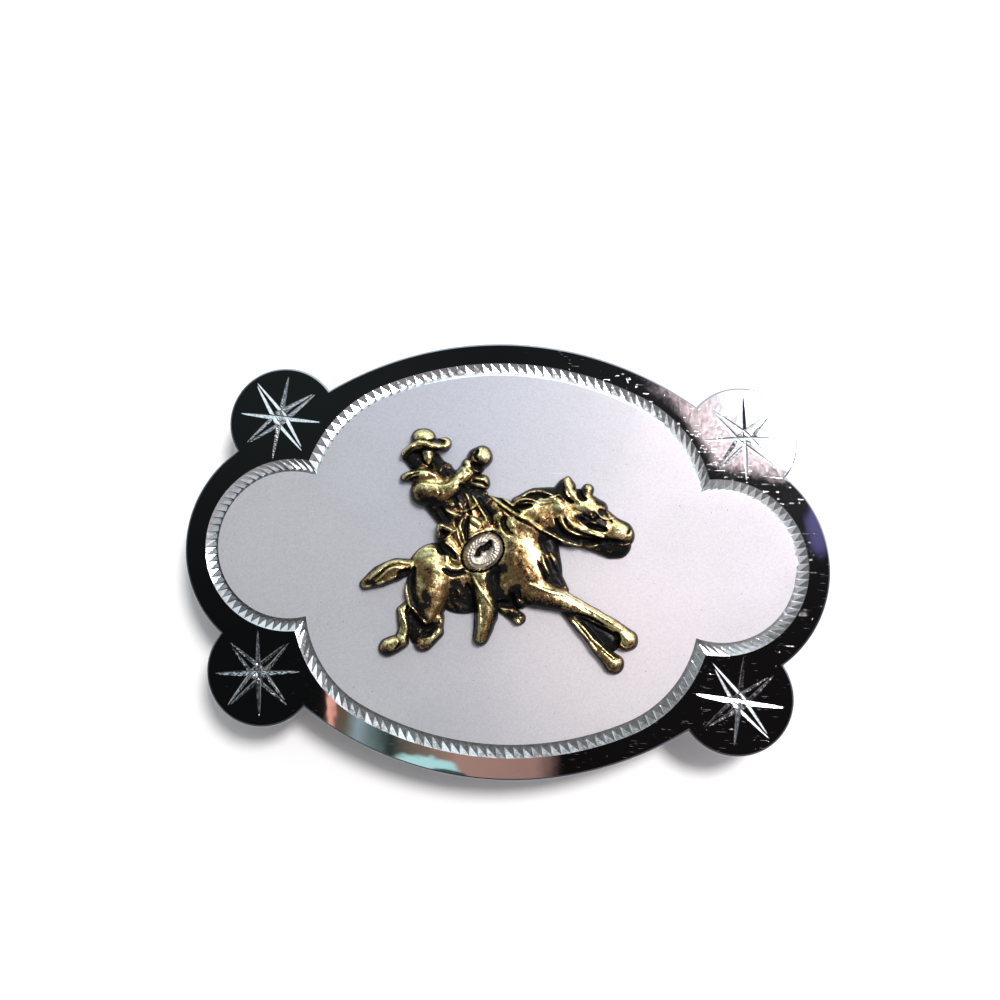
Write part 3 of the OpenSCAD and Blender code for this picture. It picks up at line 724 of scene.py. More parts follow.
# Lines drawn on the forms: half width, height (cut in where negative) and the points they pass
LINES = {
    # hat
    "hat_rim": (0.38, 0.9, [(-15.7, 13.2), (-15.9, 14.2), (-15.2, 15.2), (-14.2, 15.85), (-13.2, 16.1),
                            (-12, 15.95), (-11, 15.6), (-10.1, 15.6), (-9.2, 15.95), (-8.75, 16.5),
                            (-9.3, 17), (-10.4, 17.05)]),
    "hat_dish": (0.45, -1, [(-10.9, 16.5), (-9.9, 16.4), (-9.5, 16.5)]),
    # head
    "brow": (0.16, 0.25, [(-12.75, 14.72), (-12.3, 14.8), (-11.6, 14.8), (-11.15, 14.72)]),
    "left_eye": (0.16, -0.3, [(-12.55, 14.45), (-12.25, 14.45)]),
    "right_eye": (0.16, -0.3, [(-11.65, 14.45), (-11.35, 14.45)]),
    "nose": (0.2, 0.4, [(-11.95, 14.55), (-11.93, 13.95)]),
    "mouth": (0.12, -0.25, [(-12.25, 13.6), (-11.6, 13.6)]),
    "jaw_left": (0.2, -0.5, [(-12.95, 14.2), (-12.6, 13.4), (-12, 12.9)]),
    # neckerchief
    "scarf_top": (0.35, 0.35, [(-15.6, 10.5), (-14.4, 11.6), (-13, 12.1), (-11.8, 11.9),
                               (-10.6, 11.2)]),
    "scarf_fold": (0.2, -0.6, [(-15.1, 10.6), (-14.2, 11.3), (-13.2, 11.6)]),
    "scarf_low": (0.3, -0.8, [(-14.6, 10.4), (-13.9, 10.7), (-13.2, 10.9)]),
    # raised arm
    "arm_crest": (0.5, 0.25, [(-13.4, 10.1), (-11.5, 10.1), (-9.3, 9.9), (-8, 10.7), (-6.4, 12.4)]),
    "elbow_fold_a": (0.22, -0.35, [(-10.5, 9.9), (-9.9, 8.8), (-10, 8)]),
    "cuff_line": (0.2, -0.6, [(-6.6, 12.9), (-5.9, 12.2), (-5.2, 11.7)]),
    "wrist_gap": (0.5, -1.4, [(-5.2, 13.3), (-4.2, 12.7)]),
    # fist
    "thumb_gap": (0.25, -0.9, [(-4.5, 15.3), (-4.95, 14.5), (-4.5, 13.9)]),
    "finger_a": (0.14, -0.35, [(-3.95, 15.6), (-4.2, 14.8)]),
    # rein hand
    "hand_top": (0.35, 0.4, [(-4.8, 11.3), (-3.2, 11.2)]),
    "hand_line": (0.25, -0.7, [(-5, 10.7), (-3.6, 10.6), (-2.9, 10)]),
    "hand_low": (0.3, 0.4, [(-4.4, 10.1), (-3.3, 9.9)]),
    # coat: ridges and the hollows between them
    "coat_1": (0.25, 0.6, [(-6.3, 9.4), (-5.7, 8.4), (-5.2, 7.4)]),
    "coat_3": (0.22, 0.6, [(-4.9, 8.6), (-4.1, 7.3), (-3.2, 6), (-2.6, 5)]),
    "coat_4": (0.25, 0.6, [(-6, 6.1), (-4.7, 6.8), (-4.1, 7.4)]),
    "coat_5": (0.35, 0.6, [(-8.2, 7.1), (-7, 7.2), (-6.4, 6.7)]),
    "coat_6": (0.25, 0.5, [(-8.9, 6.3), (-7.6, 5.7), (-6.6, 5.4)]),
    "coat_a": (0.35, -0.6, [(-7.6, 8.2), (-6.9, 6.4)]),
    "coat_b": (0.3, -0.6, [(-5.6, 7), (-5.1, 5.7)]),
    "coat_c": (0.3, -0.7, [(-3.9, 8.1), (-3.1, 6.9), (-2.3, 5.8)]),
    "coat_d": (0.5, -0.7, [(-9.6, 6.4), (-8.3, 4.8)]),
    "coat_e": (0.4, -0.8, [(-2.1, 5.9), (-1.8, 4.6)]),
    "coat_f": (0.35, -0.7, [(-6.9, 10), (-5.8, 9.2), (-5, 9.6)]),
    # far shoulder
    "shoulder_1": (0.25, 0.5, [(-10, 12), (-9.5, 12.9), (-9.1, 13.3)]),
    "shoulder_2": (0.22, 0.6, [(-9.4, 11.6), (-8.8, 12.6), (-8.2, 12.2)]),
    "shoulder_a": (0.3, -0.6, [(-9.4, 12.3), (-8.9, 11.4)]),
    # saddle, scabbard and straps
    "cantle_rim": (0.3, 0.5, [(-9.95, 3.2), (-9.5, 4.1), (-8.5, 3.85), (-7.6, 3.2)]),
    "cantle_hollow": (0.4, -1, [(-9.3, 3), (-8.7, 2.3)]),
    "scabbard_top": (0.2, 0.5, [(-8.7, 1.9), (-7.9, 2.7), (-7, 3.5)]),
    "scabbard_side": (0.2, 0.5, [(-6.9, 3.3), (-6.5, 2), (-6, 0.5)]),
    "scabbard_low": (0.2, 0.5, [(-8.5, 1.4), (-7.3, 0.5), (-6.3, -0.3)]),
    "scabbard_dark": (0.4, -1, [(-8.9, 0.9), (-7.9, 0.3), (-7, -0.7)]),
    "strap": (0.22, 0.5, [(-6.3, 5), (-6.6, 3.9), (-6.1, 2.7), (-5.7, 1.4)]),
    "strap_dark": (0.3, -1, [(-5.4, 5.3), (-5.6, 3.4), (-5.4, 1.9)]),
    "strap_dark_left": (0.25, -0.6, [(-7.2, 5), (-7.1, 3.9)]),
    "skirt": (0.4, 0.5, [(-8.2, -0.7), (-8, -1.9), (-6.7, -2.4), (-5.6, -2)]),
    "skirt_dark": (0.35, -0.9, [(-8.7, -2.6), (-7.3, -3.2), (-5.6, -2.9)]),
    # horn and ring
    "ring": (0.22, 0.6, [(-0.55, 5.5), (-0.8, 4.6), (-0.3, 3.5), (0.6, 2.7)]),
    "ring_dark": (0.35, -0.8, [(0, 5.6), (-0.1, 4.6), (0.5, 3.6), (1.2, 3.1)]),
    "ring_knot": (0.35, 0.3, [(0.9, 5.1), (1.2, 4.4)]),
    # reins
    "upper_rein": (0.22, 0.6, [(-2.9, 9.9), (-1, 8.8), (0.8, 7.75), (2, 7), (3, 6.4)]),
    "rein_gap": (0.2, -0.7, [(-2.9, 9.4), (-1, 8.3), (0.8, 7.2), (2.2, 6.4)]),
    "lower_rein": (0.26, 0.9, [(-2.8, 9), (-1, 7.8), (0.6, 6.85), (2.2, 5.95), (3.8, 5.2), (5, 4.3),
                               (6.5, 3.6), (8, 2.9), (9.6, 2.25), (11.2, 1.9), (12.6, 1.9),
                               (13.8, 2.2)]),
    "rein_under": (0.2, -0.4, [(-1, 7.3), (0.6, 6.3), (2.2, 5.4), (4, 4.5)]),
    # neck and mane
    "crest": (0.5, 0.5, [(2.2, 6.2), (3.4, 7), (5, 8), (6.8, 8.6), (8, 8.3)]),
    "mane_1": (0.16, 0.5, [(1.2, 7.7), (2.3, 8.3), (3.6, 8.45), (4.7, 8.1)]),
    "mane_2": (0.18, 0.6, [(2.4, 8.8), (3.8, 9.6), (5.3, 9.75), (6.9, 9.2)]),
    "mane_3": (0.16, 0.4, [(5.4, 9.2), (6.6, 8.9), (7.8, 9.3)]),
    "mane_4": (0.14, 0.5, [(1.9, 7.5), (2.9, 7.8), (4, 7.9)]),
    "mane_a": (0.35, -1, [(1.5, 7.2), (2.7, 7.3), (3.8, 7.6)]),
    "mane_b": (0.28, -0.9, [(3.2, 8.95), (4.9, 9.1), (6.2, 8.95)]),
    # horse's head
    "ear_front": (0.4, 0.5, [(8.8, 11.6), (9.3, 10.4), (10.2, 9.1), (10.9, 8.4)]),
    "ear_hollow": (0.3, -0.9, [(8.5, 10.4), (8.5, 9.4), (9.3, 8.6), (9.9, 8.3)]),
    "ear_gap": (0.4, -1.1, [(10.7, 10), (11.1, 9.1), (11.7, 8.9)]),
    "boss": (0.7, 0.45, [(7.7, 7.8), (8.1, 7.5)]),
    "horse_brow": (0.55, 0.45, [(10.6, 7.7), (12, 7.6), (13.3, 7.3)]),
    "lid": (0.14, 0.4, [(11.7, 6.4), (12.3, 6), (13.1, 6.2)]),
    "cheek_streaks": (0.14, 0.5, [(13.4, 7.1), (14, 6.4), (14.9, 6.1)]),
    "eye_round": (0.25, 0.3, [(12.6, 6.6), (12.8, 6.6)]),
    "eye_ring": (0.22, -0.8, [(11.6, 6.6), (12.1, 6.1), (12.9, 5.95), (13.6, 6.3)]),
    "cheek_dark": (0.45, -1, [(11.2, 5.9), (12.4, 5.2), (13.6, 4.8), (14.8, 4.5)]),
    "cheek_light": (0.2, 0.6, [(11.3, 5.55), (12.6, 5.4), (13.5, 5.4)]),
    "crest_line": (0.28, 0.7, [(9.1, 6.2), (9.9, 5.2), (11.2, 4.5), (12.8, 4), (14.6, 3.4)]),
    "jaw_line": (0.25, 0.5, [(8.2, 6.2), (8.7, 5), (9.8, 4), (11.4, 3.4)]),
    "jaw_dark": (0.4, -1.1, [(7.6, 5.6), (8.2, 4.3), (9.6, 3.3), (11.6, 2.8), (13.6, 2.8), (15, 2.9)]),
    "jaw_inner": (0.2, -0.6, [(8.8, 5.8), (9.5, 4.6), (11, 3.95), (12.8, 3.5)]),
    "face_line": (0.22, 0.5, [(13.4, 7), (14.4, 6.3), (15.3, 6.1), (16, 6.3)]),
    "face_dark": (0.22, -0.5, [(13.9, 7.4), (14.9, 6.8), (15.8, 5.6)]),
    "muzzle": (0.9, 0.35, [(16.7, 4.8), (17, 4.6)]),
    "nostril": (0.22, -0.6, [(18.1, 4.1), (18.45, 4.6)]),
    "mouth_line": (0.28, -0.9, [(15, 2.95), (16.4, 2.9), (17.6, 2.8), (18.6, 3)]),
    # chest
    "chest_1": (0.3, 0.8, [(5.8, 0.2), (6.2, -1), (6.9, -2.4)]),
    "chest_2": (0.3, 0.8, [(7, 0.6), (7.6, -0.5), (8.1, -1.7)]),
    "chest_b": (0.22, -0.8, [(5.2, -0.6), (5.8, -2), (6.5, -3.3)]),
    # shoulder and barrel
    "girth_dark": (0.6, -1, [(-0.7, -2), (-1, -3), (-0.7, -4.2)]),
    "belly_dark": (0.6, -1.2, [(1.6, -5.7), (1.6, -7), (-0.3, -7)]),
    "elbow_line": (0.25, -0.7, [(2.6, -5), (2.9, -6.2)]),
    # flank
    "flank_1": (0.25, 0.6, [(-6.7, -5.2), (-6.1, -5.7), (-6.1, -6.4)]),
    "flank_2": (0.4, 0.5, [(-6.4, -7.4), (-5.3, -8.1), (-4.1, -8.6)]),
    # rump and thigh
    "thigh_rim": (0.2, 0.8, [(-13.2, -2.4), (-13.95, -4.4), (-13.9, -6.2), (-13.2, -7.9), (-12, -9.3),
                             (-10.6, -10.7)]),
    "thigh_dark": (0.5, -1, [(-13, -2.7), (-13.15, -4.4), (-12.9, -6.4), (-12.2, -8)]),
    "rump_top": (0.5, 0.3, [(-12.4, -0.2), (-11.2, 0.5), (-10.1, 0.5)]),
    "rump_dark": (0.4, -0.7, [(-8.9, -0.2), (-9.4, 0.6), (-8.8, 1.3)]),
    "hock_dark": (0.35, -1, [(-13.1, -8.9), (-12.2, -10.2), (-10.6, -11), (-9.6, -10.7)]),
    # hind legs
    "near_hind_1": (0.35, 0.35, [(-8.3, -9.9), (-8.5, -11.2), (-9.5, -12.5), (-10.4, -13.3)]),
    "near_hind_a": (0.35, -0.9, [(-9.5, -11.2), (-10.2, -12), (-10.9, -12.4)]),
    "near_hoof": (0.4, 0.25, [(-11.6, -12.7), (-11.4, -13.6)]),
    "far_hind_1": (0.25, 0.3, [(-14.9, -8), (-14.5, -9.3), (-13.8, -10.4), (-13.5, -11.8),
                               (-13.8, -12.9)]),
    "far_hind_a": (0.25, -0.7, [(-13.6, -8.2), (-13.6, -9.4)]),
    "far_hoof_a": (0.2, -0.6, [(-14.9, -12.6), (-14.4, -13.5), (-14.9, -14.4)]),
    # tail
    "tail_1": (0.28, 0.55, [(-13.6, -1.9), (-15.4, -1.7), (-16.8, -2.1), (-18.2, -3.3), (-19.4, -4.6)]),
    "tail_2": (0.26, 0.5, [(-14.6, -2.6), (-16.2, -2.7), (-17.4, -3.7), (-18.5, -4.8)]),
    "tail_3": (0.22, 0.4, [(-15.6, -4), (-17.2, -4.8), (-19.2, -5.6), (-20.2, -5.8)]),
    "tail_a": (0.12, -0.4, [(-14, -2.2), (-15.6, -2.2), (-17.2, -2.9), (-18.9, -4.4)]),
    "tail_b": (0.4, -1, [(-13.6, -3), (-15, -3.5)]),
    # rider's leg
    "leg_line": (0.25, 0.4, [(-4.3, -3.4), (-3.2, -5.2), (-1.8, -6.7), (-0.8, -8)]),
    "leg_shade": (0.45, -1, [(-5, -4.6), (-4.2, -7), (-3.7, -9.4), (-3.7, -12)]),
    "leg_flap": (0.2, 0.45, [(-3.1, -7.5), (-2.75, -10), (-2.95, -12.4)]),
    "boot_far_light": (0.3, 0.4, [(2.1, -9.3), (3, -9.7)]),
    # forelegs
    "fore_crest": (0.35, 0.35, [(4.2, -4), (7, -4.9), (10, -5.4), (13, -7), (15.6, -8.4),
                                (17.8, -9.7)]),
    "knee_dark": (0.25, -0.8, [(11, -7.9), (13, -8.4), (15, -9.2)]),
    "hoof_cleft": (0.4, -1, [(16.9, -10.4), (17.3, -11.3), (16.9, -12.2)]),
    "far_fore_1": (0.25, 0.6, [(11.3, -9), (12.4, -10), (13.7, -11.5), (15.3, -12.7), (16.8, -13.9)]),
    "far_fore_2": (0.22, 0.4, [(10.6, -9), (12.4, -11), (13.7, -12.5), (14.4, -13.6)]),
}

# Broad darkened (negative) and brightened (positive) places: patina and polish, together with painted
# shade under and beside forms and painted highlights on their upper sides; half width, amount and points
TONES = {
    # hat and head
    "hat_top": (1, 0.7, [(-13.6, 17.1), (-12.7, 17.4), (-11.8, 17)]),
    "crown_foot": (0.3, -0.9, [(-14.5, 16.4), (-13, 16.5), (-11.3, 16.6), (-9.8, 16.5)]),
    "under_hat": (1.2, -1.1, [(-15.1, 14), (-14.1, 13.9), (-13.8, 12.9)]),
    "face": (0.9, 0.15, [(-12, 14.4), (-11.9, 13.6)]),
    "throat": (1, -1, [(-10.7, 14.6), (-10.1, 13.3), (-9.2, 12), (-8.2, 12)]),
    # arms and hands
    "arm_top": (0.7, 0.5, [(-13.3, 10.1), (-11.8, 10.2), (-10, 10), (-8.6, 10.6), (-6.4, 12.5)]),
    "arm_under": (0.9, -0.6, [(-13, 8.8), (-12.2, 7.8), (-10.6, 7.3)]),
    "cuff": (0.5, 0.5, [(-5.9, 13.1), (-5.3, 12.3)]),
    "fist": (0.9, 0.5, [(-3.8, 15), (-3.2, 14.3)]),
    "fist_dark": (0.6, -1, [(-5.9, 14.2), (-5.3, 14.9), (-4.6, 15.4)]),
    "fist_brown": (0.8, -0.6, [(-4.6, 14), (-4, 13.2), (-3, 13)]),
    "wrist_dark": (0.7, -0.9, [(-4.2, 12.8), (-3.6, 13.1)]),
    # coat and saddle
    "coat_back": (1.3, -1.1, [(-12, 6.9), (-9.8, 6.3), (-8.5, 5)]),
    "coat_middle": (0.8, -0.5, [(-8, 7), (-6.8, 7.4), (-6, 6)]),
    "coat_front": (1.1, -0.8, [(-7.6, 8), (-5.5, 9.5), (-3, 7.4), (-1.9, 5.5)]),
    "coat_low": (0.9, -0.8, [(-6.8, 5.6), (-6, 3.8), (-5.6, 2)]),
    "waistcoat": (0.8, 0.6, [(-4.6, 4.8), (-3.8, 4.5), (-3.7, 3.6)]),
    "cantle_inside": (0.8, -1, [(-9, 2.9), (-9, 1.7)]),
    "saddle": (0.9, -1, [(-9.6, 0.9), (-8.5, 0.5), (-7.6, -0.2)]),
    "skirt_under": (0.5, -0.9, [(-8.4, -2.8), (-7, -3), (-5.6, -2.4)]),
    "skirt_light": (0.5, 0.3, [(-7.6, -1.8), (-6.4, -1.9)]),
    # rump, thigh and tail
    "rump_top": (0.8, 0.6, [(-12.5, -0.6), (-11.4, 0.2), (-10.6, 0.4)]),
    "rump_mottle": (0.9, -0.4, [(-12.2, -1.8), (-11.2, -2.4), (-11.8, -3.2)]),
    "thigh_band": (0.8, -1.3, [(-13.1, -3.8), (-13.1, -5.4), (-12.8, -7), (-11.8, -8.7), (-11, -9.8)]),
    "thigh_inside": (0.7, -0.9, [(-11.2, -5.8), (-10.8, -7.2), (-10.8, -8.2)]),
    "thigh_light": (0.7, 0.2, [(-9.6, -0.8), (-9.2, -4.6), (-8.2, -4.6)]),
    "tail_under": (0.9, -1.1, [(-13.6, -3), (-14.8, -3.6)]),
    "tail_tip": (0.6, -1, [(-19.9, -5), (-18.6, -5.1)]),
    "hocks": (0.8, -1.1, [(-12.9, -9.4), (-12, -11), (-12, -12.8), (-10.6, -11.6), (-8.8, -10.6)]),
    "far_hoof": (0.7, -0.5, [(-16.6, -14.8), (-15.6, -15.3), (-14.2, -14.6)]),
    # flank and rider's leg
    "flank": (1.2, -1.4, [(-6.7, -4.6), (-6, -6.6), (-4.6, -7.8), (-4.7, -5.2)]),
    "leg_band": (0.45, -1, [(-4.9, -4.6), (-4.1, -7), (-3.6, -9.4), (-3.5, -12)]),
    "leg_right": (0.5, -0.5, [(-0.7, -6), (-0.7, -9), (-1.5, -12)]),
    # girth, belly and the far boot
    "girth": (1, -1.4, [(0.2, -1.9), (-1.2, -2.5), (-1.6, -3.8), (-0.9, -5.2), (0.2, -6.6)]),
    "belly": (0.9, -1.4, [(2.4, -4.6), (1.7, -5.8), (1.3, -6.9), (3, -7.3)]),
    "far_boot": (0.5, -0.8, [(1.2, -8.4), (3.4, -8.5)]),
    # shoulder and chest
    "shoulder_light": (1.1, 0.3, [(1.6, 2.6), (3.6, 2), (4.4, 0.8), (5.2, -0.8), (5.7, -2.2)]),
    "shoulder_brown": (1.5, -0.25, [(1.4, -0.6), (3.4, -1.8), (4.2, -3)]),
    "throat_latch": (1, -1.2, [(7.4, 4.2), (6.4, 3.2), (6.3, 1.8), (7.6, 1.4)]),
    "chest": (1.2, -1.1, [(6, -1), (7.4, -2.6), (8.3, -0.4), (8.5, -3.6)]),
    # horse's head
    "jaw_under": (0.9, -1.2, [(7.6, 4), (9.6, 3.1), (12.4, 2.7), (14.8, 2.7), (16.6, 2.8)]),
    "chin": (1.1, -1, [(14.8, 1.6), (16.2, 1.2), (17.6, 1.9)]),
    "cheek": (1, -1.2, [(11, 6.2), (12.6, 5.8), (13.9, 5.8), (14.5, 4.8)]),
    "eye_band": (0.5, -0.7, [(12.6, 6.9), (13.8, 6.9), (14.6, 7)]),
    "muzzle": (1, 0.7, [(16.5, 4.8), (17.1, 4.5)]),
    "nose_top": (0.4, -0.6, [(15.7, 6.9), (17.4, 6), (18.7, 4.9)]),
    "brow": (0.8, 0.6, [(10.6, 8.2), (12, 8), (13.2, 7.8)]),
    "forelock": (0.5, -0.7, [(13, 9), (14.4, 7.9)]),
    # neck, mane and ears
    "neck_crest": (0.6, 0.6, [(2.6, 6.2), (4.4, 7.5), (6.3, 8.4), (7.8, 8.4)]),
    "neck_brown": (1.1, -0.2, [(4.6, 5.6), (6.6, 6.2)]),
    "mane_shade": (1, -0.9, [(1.4, 7.6), (3, 8.2), (3.9, 9.1), (5.8, 9.6), (7.6, 9.8), (8.7, 9)]),
    "near_ear_dark": (0.6, -1, [(7.4, 10.2), (8.3, 11.1)]),
    "near_ear_light": (0.6, 0.5, [(9.1, 11), (9.7, 9.8), (10.5, 8.7)]),
    "ear_gap": (0.6, -0.9, [(10.6, 10.3), (11.3, 9.6), (11.3, 10.6)]),
    # forelegs
    "foreleg_top": (0.7, 0.6, [(5.6, -4.2), (8, -5.1), (10.4, -5.7), (13, -7), (16, -8.7), (18.4, -10.2)]),
    "foreleg_brown": (0.7, -0.3, [(3.6, -6.2), (6.2, -6.4), (8.8, -6.9)]),
    "foreleg_under": (0.5, -0.8, [(3.6, -7), (6.6, -7.2), (9.6, -7.8), (12, -8.4), (14.6, -9.4)]),
    "web": (1.3, -1.4, [(12.6, -9.3), (14.6, -10.6), (16.3, -12)]),
}

# Lariat: a tilted flat coil of rope beside the saddle
COIL_MID = (-2.95, 0.25)
COIL_R = 1.5
COIL_ROPE = 1.2
COIL_RISE = 2.75
COIL_STRETCH = 1.28
COIL_LEAN = 40
# The ring's bowl: how much lower it is towards its middle, for each mm inside this radius
DISH, DISH_R = 0.12, 1.6
# Rope turns and the strands across them; the turns fade in from TURNS_FROM over TURNS_OVER
ROPE_PITCH = 0.5
TURN_RISE = 0.06
TURNS_FROM, TURNS_OVER = 0.9, 0.5
TWIST_RISE = 0.045
TWISTS = 26
TWIST_SLANT = 9
ROPE_EDGE = (0.28, 0.5, [(-5.3, 1.9), (-4.3, 2.8), (-3, 3.4), (-1.5, 3.7), (-0.6, 3.5)])
# The ragged slit in its middle: place and half sizes along and across the coil
SLIT_MID = (0.4, 0.3)
SLIT_HALF = (1.3, 0.6)
SLIT_DEPTH = 0.9

# Grid on which the casting's height is worked out
CELL = 0.1
LOW_X, HIGH_X = -21.6, 21.2
LOW_Y, HIGH_Y = -17.4, 19.4
OUTSIDE = -9.0
LINE_TAPER = 0.3
# How much of a drawn line's height is real, how much brighter a drawn ridge and darker a drawn groove
# is for each mm of height, and the heights over which that goes on
LINE_RISE = 0.8
RIDGE_TONE, RIDGE_TOP = 1.1, 0.6
GROOVE_TONE, GROOVE_FOOT = 0.6, -0.8
HIGHEST = 3.05
FLOOR_H = 0.3
# Above 2 the forms are fuller than half rounds
FULLNESS = 2.3
SEAT = 0.05
# Spacing of the stations along forms and lines, and how far past its half width each one is worked out
FORM_STEP, FORM_PAST = 0.15, 0.7
LINE_STEP, LINE_PAST = 0.08, 0.3
# Drawn lines and lumps fade out below this height
FADE_H = 0.8
# Unevenness; columns: size of the lumps, amount
WARP = (0.5, 0.03)
TURN_WANDER = (0.5, 0.04)
SLIT_RAGGED = (0.18, 0.22)
LINES_UNEVEN = (0.4, 0.25)
BROAD_LUMPS = (0.5, 0.02)
FINE_LUMPS = (0.2, 0.012)
# Edges that are blurred over less than a cell
CRISP = 0.05
# Wear: columns are the radius to look round a place and the weight of its height above that mean
WEAR_BASE = 0.58
WEAR_ROUND = [(0.3, 1.1), (0.9, 0.5)]
STEEP_SLOPE = 1.2
# Heights over which the low rim goes from black to its full wear
BLACK_LOW, BLACK_OVER, BLACK_LEFT = 0.35, 0.5, 0.3

GX, GY = np.meshgrid(np.arange(LOW_X, HIGH_X, CELL), np.arange(LOW_Y, HIGH_Y, CELL))


def soften(a, radius):
    """Gaussian blur by separable sums."""
    n = int(3 * radius / CELL) + 1
    kernel = np.exp(-0.5 * (np.arange(-n, n + 1) * CELL / radius) ** 2)
    kernel /= kernel.sum()
    for axis in (0, 1):
        a = np.apply_along_axis(lambda row: np.convolve(row, kernel, "same"), axis, a)
    return a


def cast_lumps(radius, amount):
    """Random unevenness of one size, of about the given height."""
    field = soften(rng.standard_normal(GX.shape), radius)
    return amount * field / field.std()


# Forms are drawn on slightly wavy coordinates, as hand work is
WX = GX + cast_lumps(*WARP)
WY = GY + cast_lumps(*WARP)


def window(x, y, reach):
    """The part of the grid within reach of a point."""
    spans = []
    for middle, low in ((y, LOW_Y), (x, LOW_X)):
        first = max(int((middle - reach - low) / CELL), 0)
        spans.append(slice(first, int((middle + reach - low) / CELL) + 2))
    return tuple(spans)


def samples(rows, spacing, curved):
    """Stations spaced closely through the given rows, along a smooth curve or along straight pieces."""
    rows = np.array(rows, float)
    ends = np.vstack([2 * rows[0] - rows[1], rows, 2 * rows[-1] - rows[-2]])
    out = []
    for p0, p1, p2, p3 in zip(ends, ends[1:], ends[2:], ends[3:]):
        n = max(int(math.hypot(*(p2 - p1)[:2]) / spacing), 1)
        for t in np.arange(n) / n:
            if curved:
                spot = 2 * p1 + (p2 - p0) * t + (2 * p0 - 5 * p1 + 4 * p2 - p3) * t * t
                spot = (spot + (3 * p1 - p0 - 3 * p2 + p3) * t ** 3) / 2
            else:
                spot = p1 + (p2 - p1) * t
            out.append(spot)
    return out + [rows[-1]]


def form_height(rows):
    """Height of one swept form and how far inside its outline each grid point is."""
    height, depth = np.zeros_like(GX), np.full_like(GX, OUTSIDE)
    for x, y, half, rise in samples(rows, FORM_STEP, curved=False):
        w = window(x, y, half + FORM_PAST)
        d = np.hypot(WX[w] - x, WY[w] - y)
        height[w] = np.maximum(height[w], rise * np.sqrt(np.clip(1 - (d / half) ** FULLNESS, 0, 1)))
        depth[w] = np.maximum(depth[w], half - d)
    return height, depth


def line_height(row):
    """Raised or cut amount of one line, which tapers towards both its ends."""
    half, rise, spots = row
    up = np.zeros_like(GX)
    stations = samples(spots, LINE_STEP, curved=True)
    for k, (x, y) in enumerate(stations):
        full = 1 - LINE_TAPER * abs(2 * k / (len(stations) - 1) - 1) ** 3
        w = window(x, y, half * 1.3 + LINE_PAST)
        away = ((WX[w] - x) ** 2 + (WY[w] - y) ** 2) / (1.25 * half * full) ** 2
        up[w] = np.maximum(up[w], full * np.clip(1 - away, 0, 1) ** 1.3)
    return up * rise


def join(a, b, k):
    """The higher of two heights, rounded where they nearly agree."""
    near = np.clip(k - np.abs(a - b), 0, k) / k
    both = (a > 0) & (b > 0)
    return np.maximum(a, b) + np.where(both, near * near * k / 4, 0)


def coil_height():
    """The rope ring's height, its outline depth, how dark its middle slit is and its grooves."""
    a = math.radians(COIL_LEAN)
    dx, dy = GX - COIL_MID[0], GY - COIL_MID[1]
    u = (dx * math.cos(a) + dy * math.sin(a)) / COIL_STRETCH
    v = -dx * math.sin(a) + dy * math.cos(a)
    r, bearing = np.hypot(u, v), np.arctan2(v, u)
    outer = COIL_R + COIL_ROPE
    dish = 1 - DISH * np.clip(DISH_R - r, 0, 1)
    ring = COIL_RISE * dish * np.clip(1 - (r / outer) ** 6, 0, 1) ** 0.5
    wander = r + 0.06 * np.sin(3 * bearing) + cast_lumps(*TURN_WANDER)
    turns = TURN_RISE * np.cos(2 * math.pi * wander / ROPE_PITCH)
    turns = turns * np.clip((r - TURNS_FROM) / TURNS_OVER, 0, 1)
    twist = TWIST_RISE * np.cos(bearing * TWISTS + r * TWIST_SLANT)
    off_slit = np.hypot((u - SLIT_MID[0]) / SLIT_HALF[0], (v - SLIT_MID[1]) / SLIT_HALF[1])
    slit = np.clip(1.2 - off_slit + cast_lumps(*SLIT_RAGGED), 0, 1)
    ring = np.where(ring > 0, ring + turns + twist - SLIT_DEPTH * slit, 0)
    return ring, outer - r, slit, np.clip(-turns - twist, 0, 1)


def relief():
    """Height, outline depth, rope and added tone of the whole casting."""
    height, depth = np.zeros_like(GX), np.full_like(GX, OUTSIDE)
    for name, rows in FORMS.items():
        h, d = form_height(rows)
        height = join(height, h, SOFT_JOIN if name in SOFT_FORMS else HARD_JOIN)
        depth = np.maximum(depth, d)
    h, d, slit, grooves = coil_height()
    rope = d > 0
    height = np.where(rope, h, height)
    depth = np.maximum(depth, d)
    drawn, tone = (sum(line_height(row) for row in table.values()) for table in (LINES, TONES))
    drawn = np.where(rope, 0, drawn) + line_height(ROPE_EDGE)
    rope_tone = 0.3 + 0.5 * np.clip(1 - d / 0.5, 0, 1) - 3 * grooves
    tone = np.where(rope, rope_tone - 1.4 * np.clip(2 * slit - 0.3, 0, 1), tone)
    drawn = drawn * np.clip(0.9 + cast_lumps(*LINES_UNEVEN), 0.3, 1.3)
    lumps = cast_lumps(*BROAD_LUMPS) + cast_lumps(*FINE_LUMPS)
    height = height + (LINE_RISE * drawn + lumps) * np.clip(height / FADE_H, 0, 1)
    height = np.where(depth > 0, np.maximum(height, FLOOR_H), 0)
    height = soften(height, CRISP)
    tone = tone + RIDGE_TONE * np.clip(drawn, 0, RIDGE_TOP) + GROOVE_TONE * np.clip(drawn, GROOVE_FOOT, 0)
    return np.minimum(height, HIGHEST), depth, rope, tone


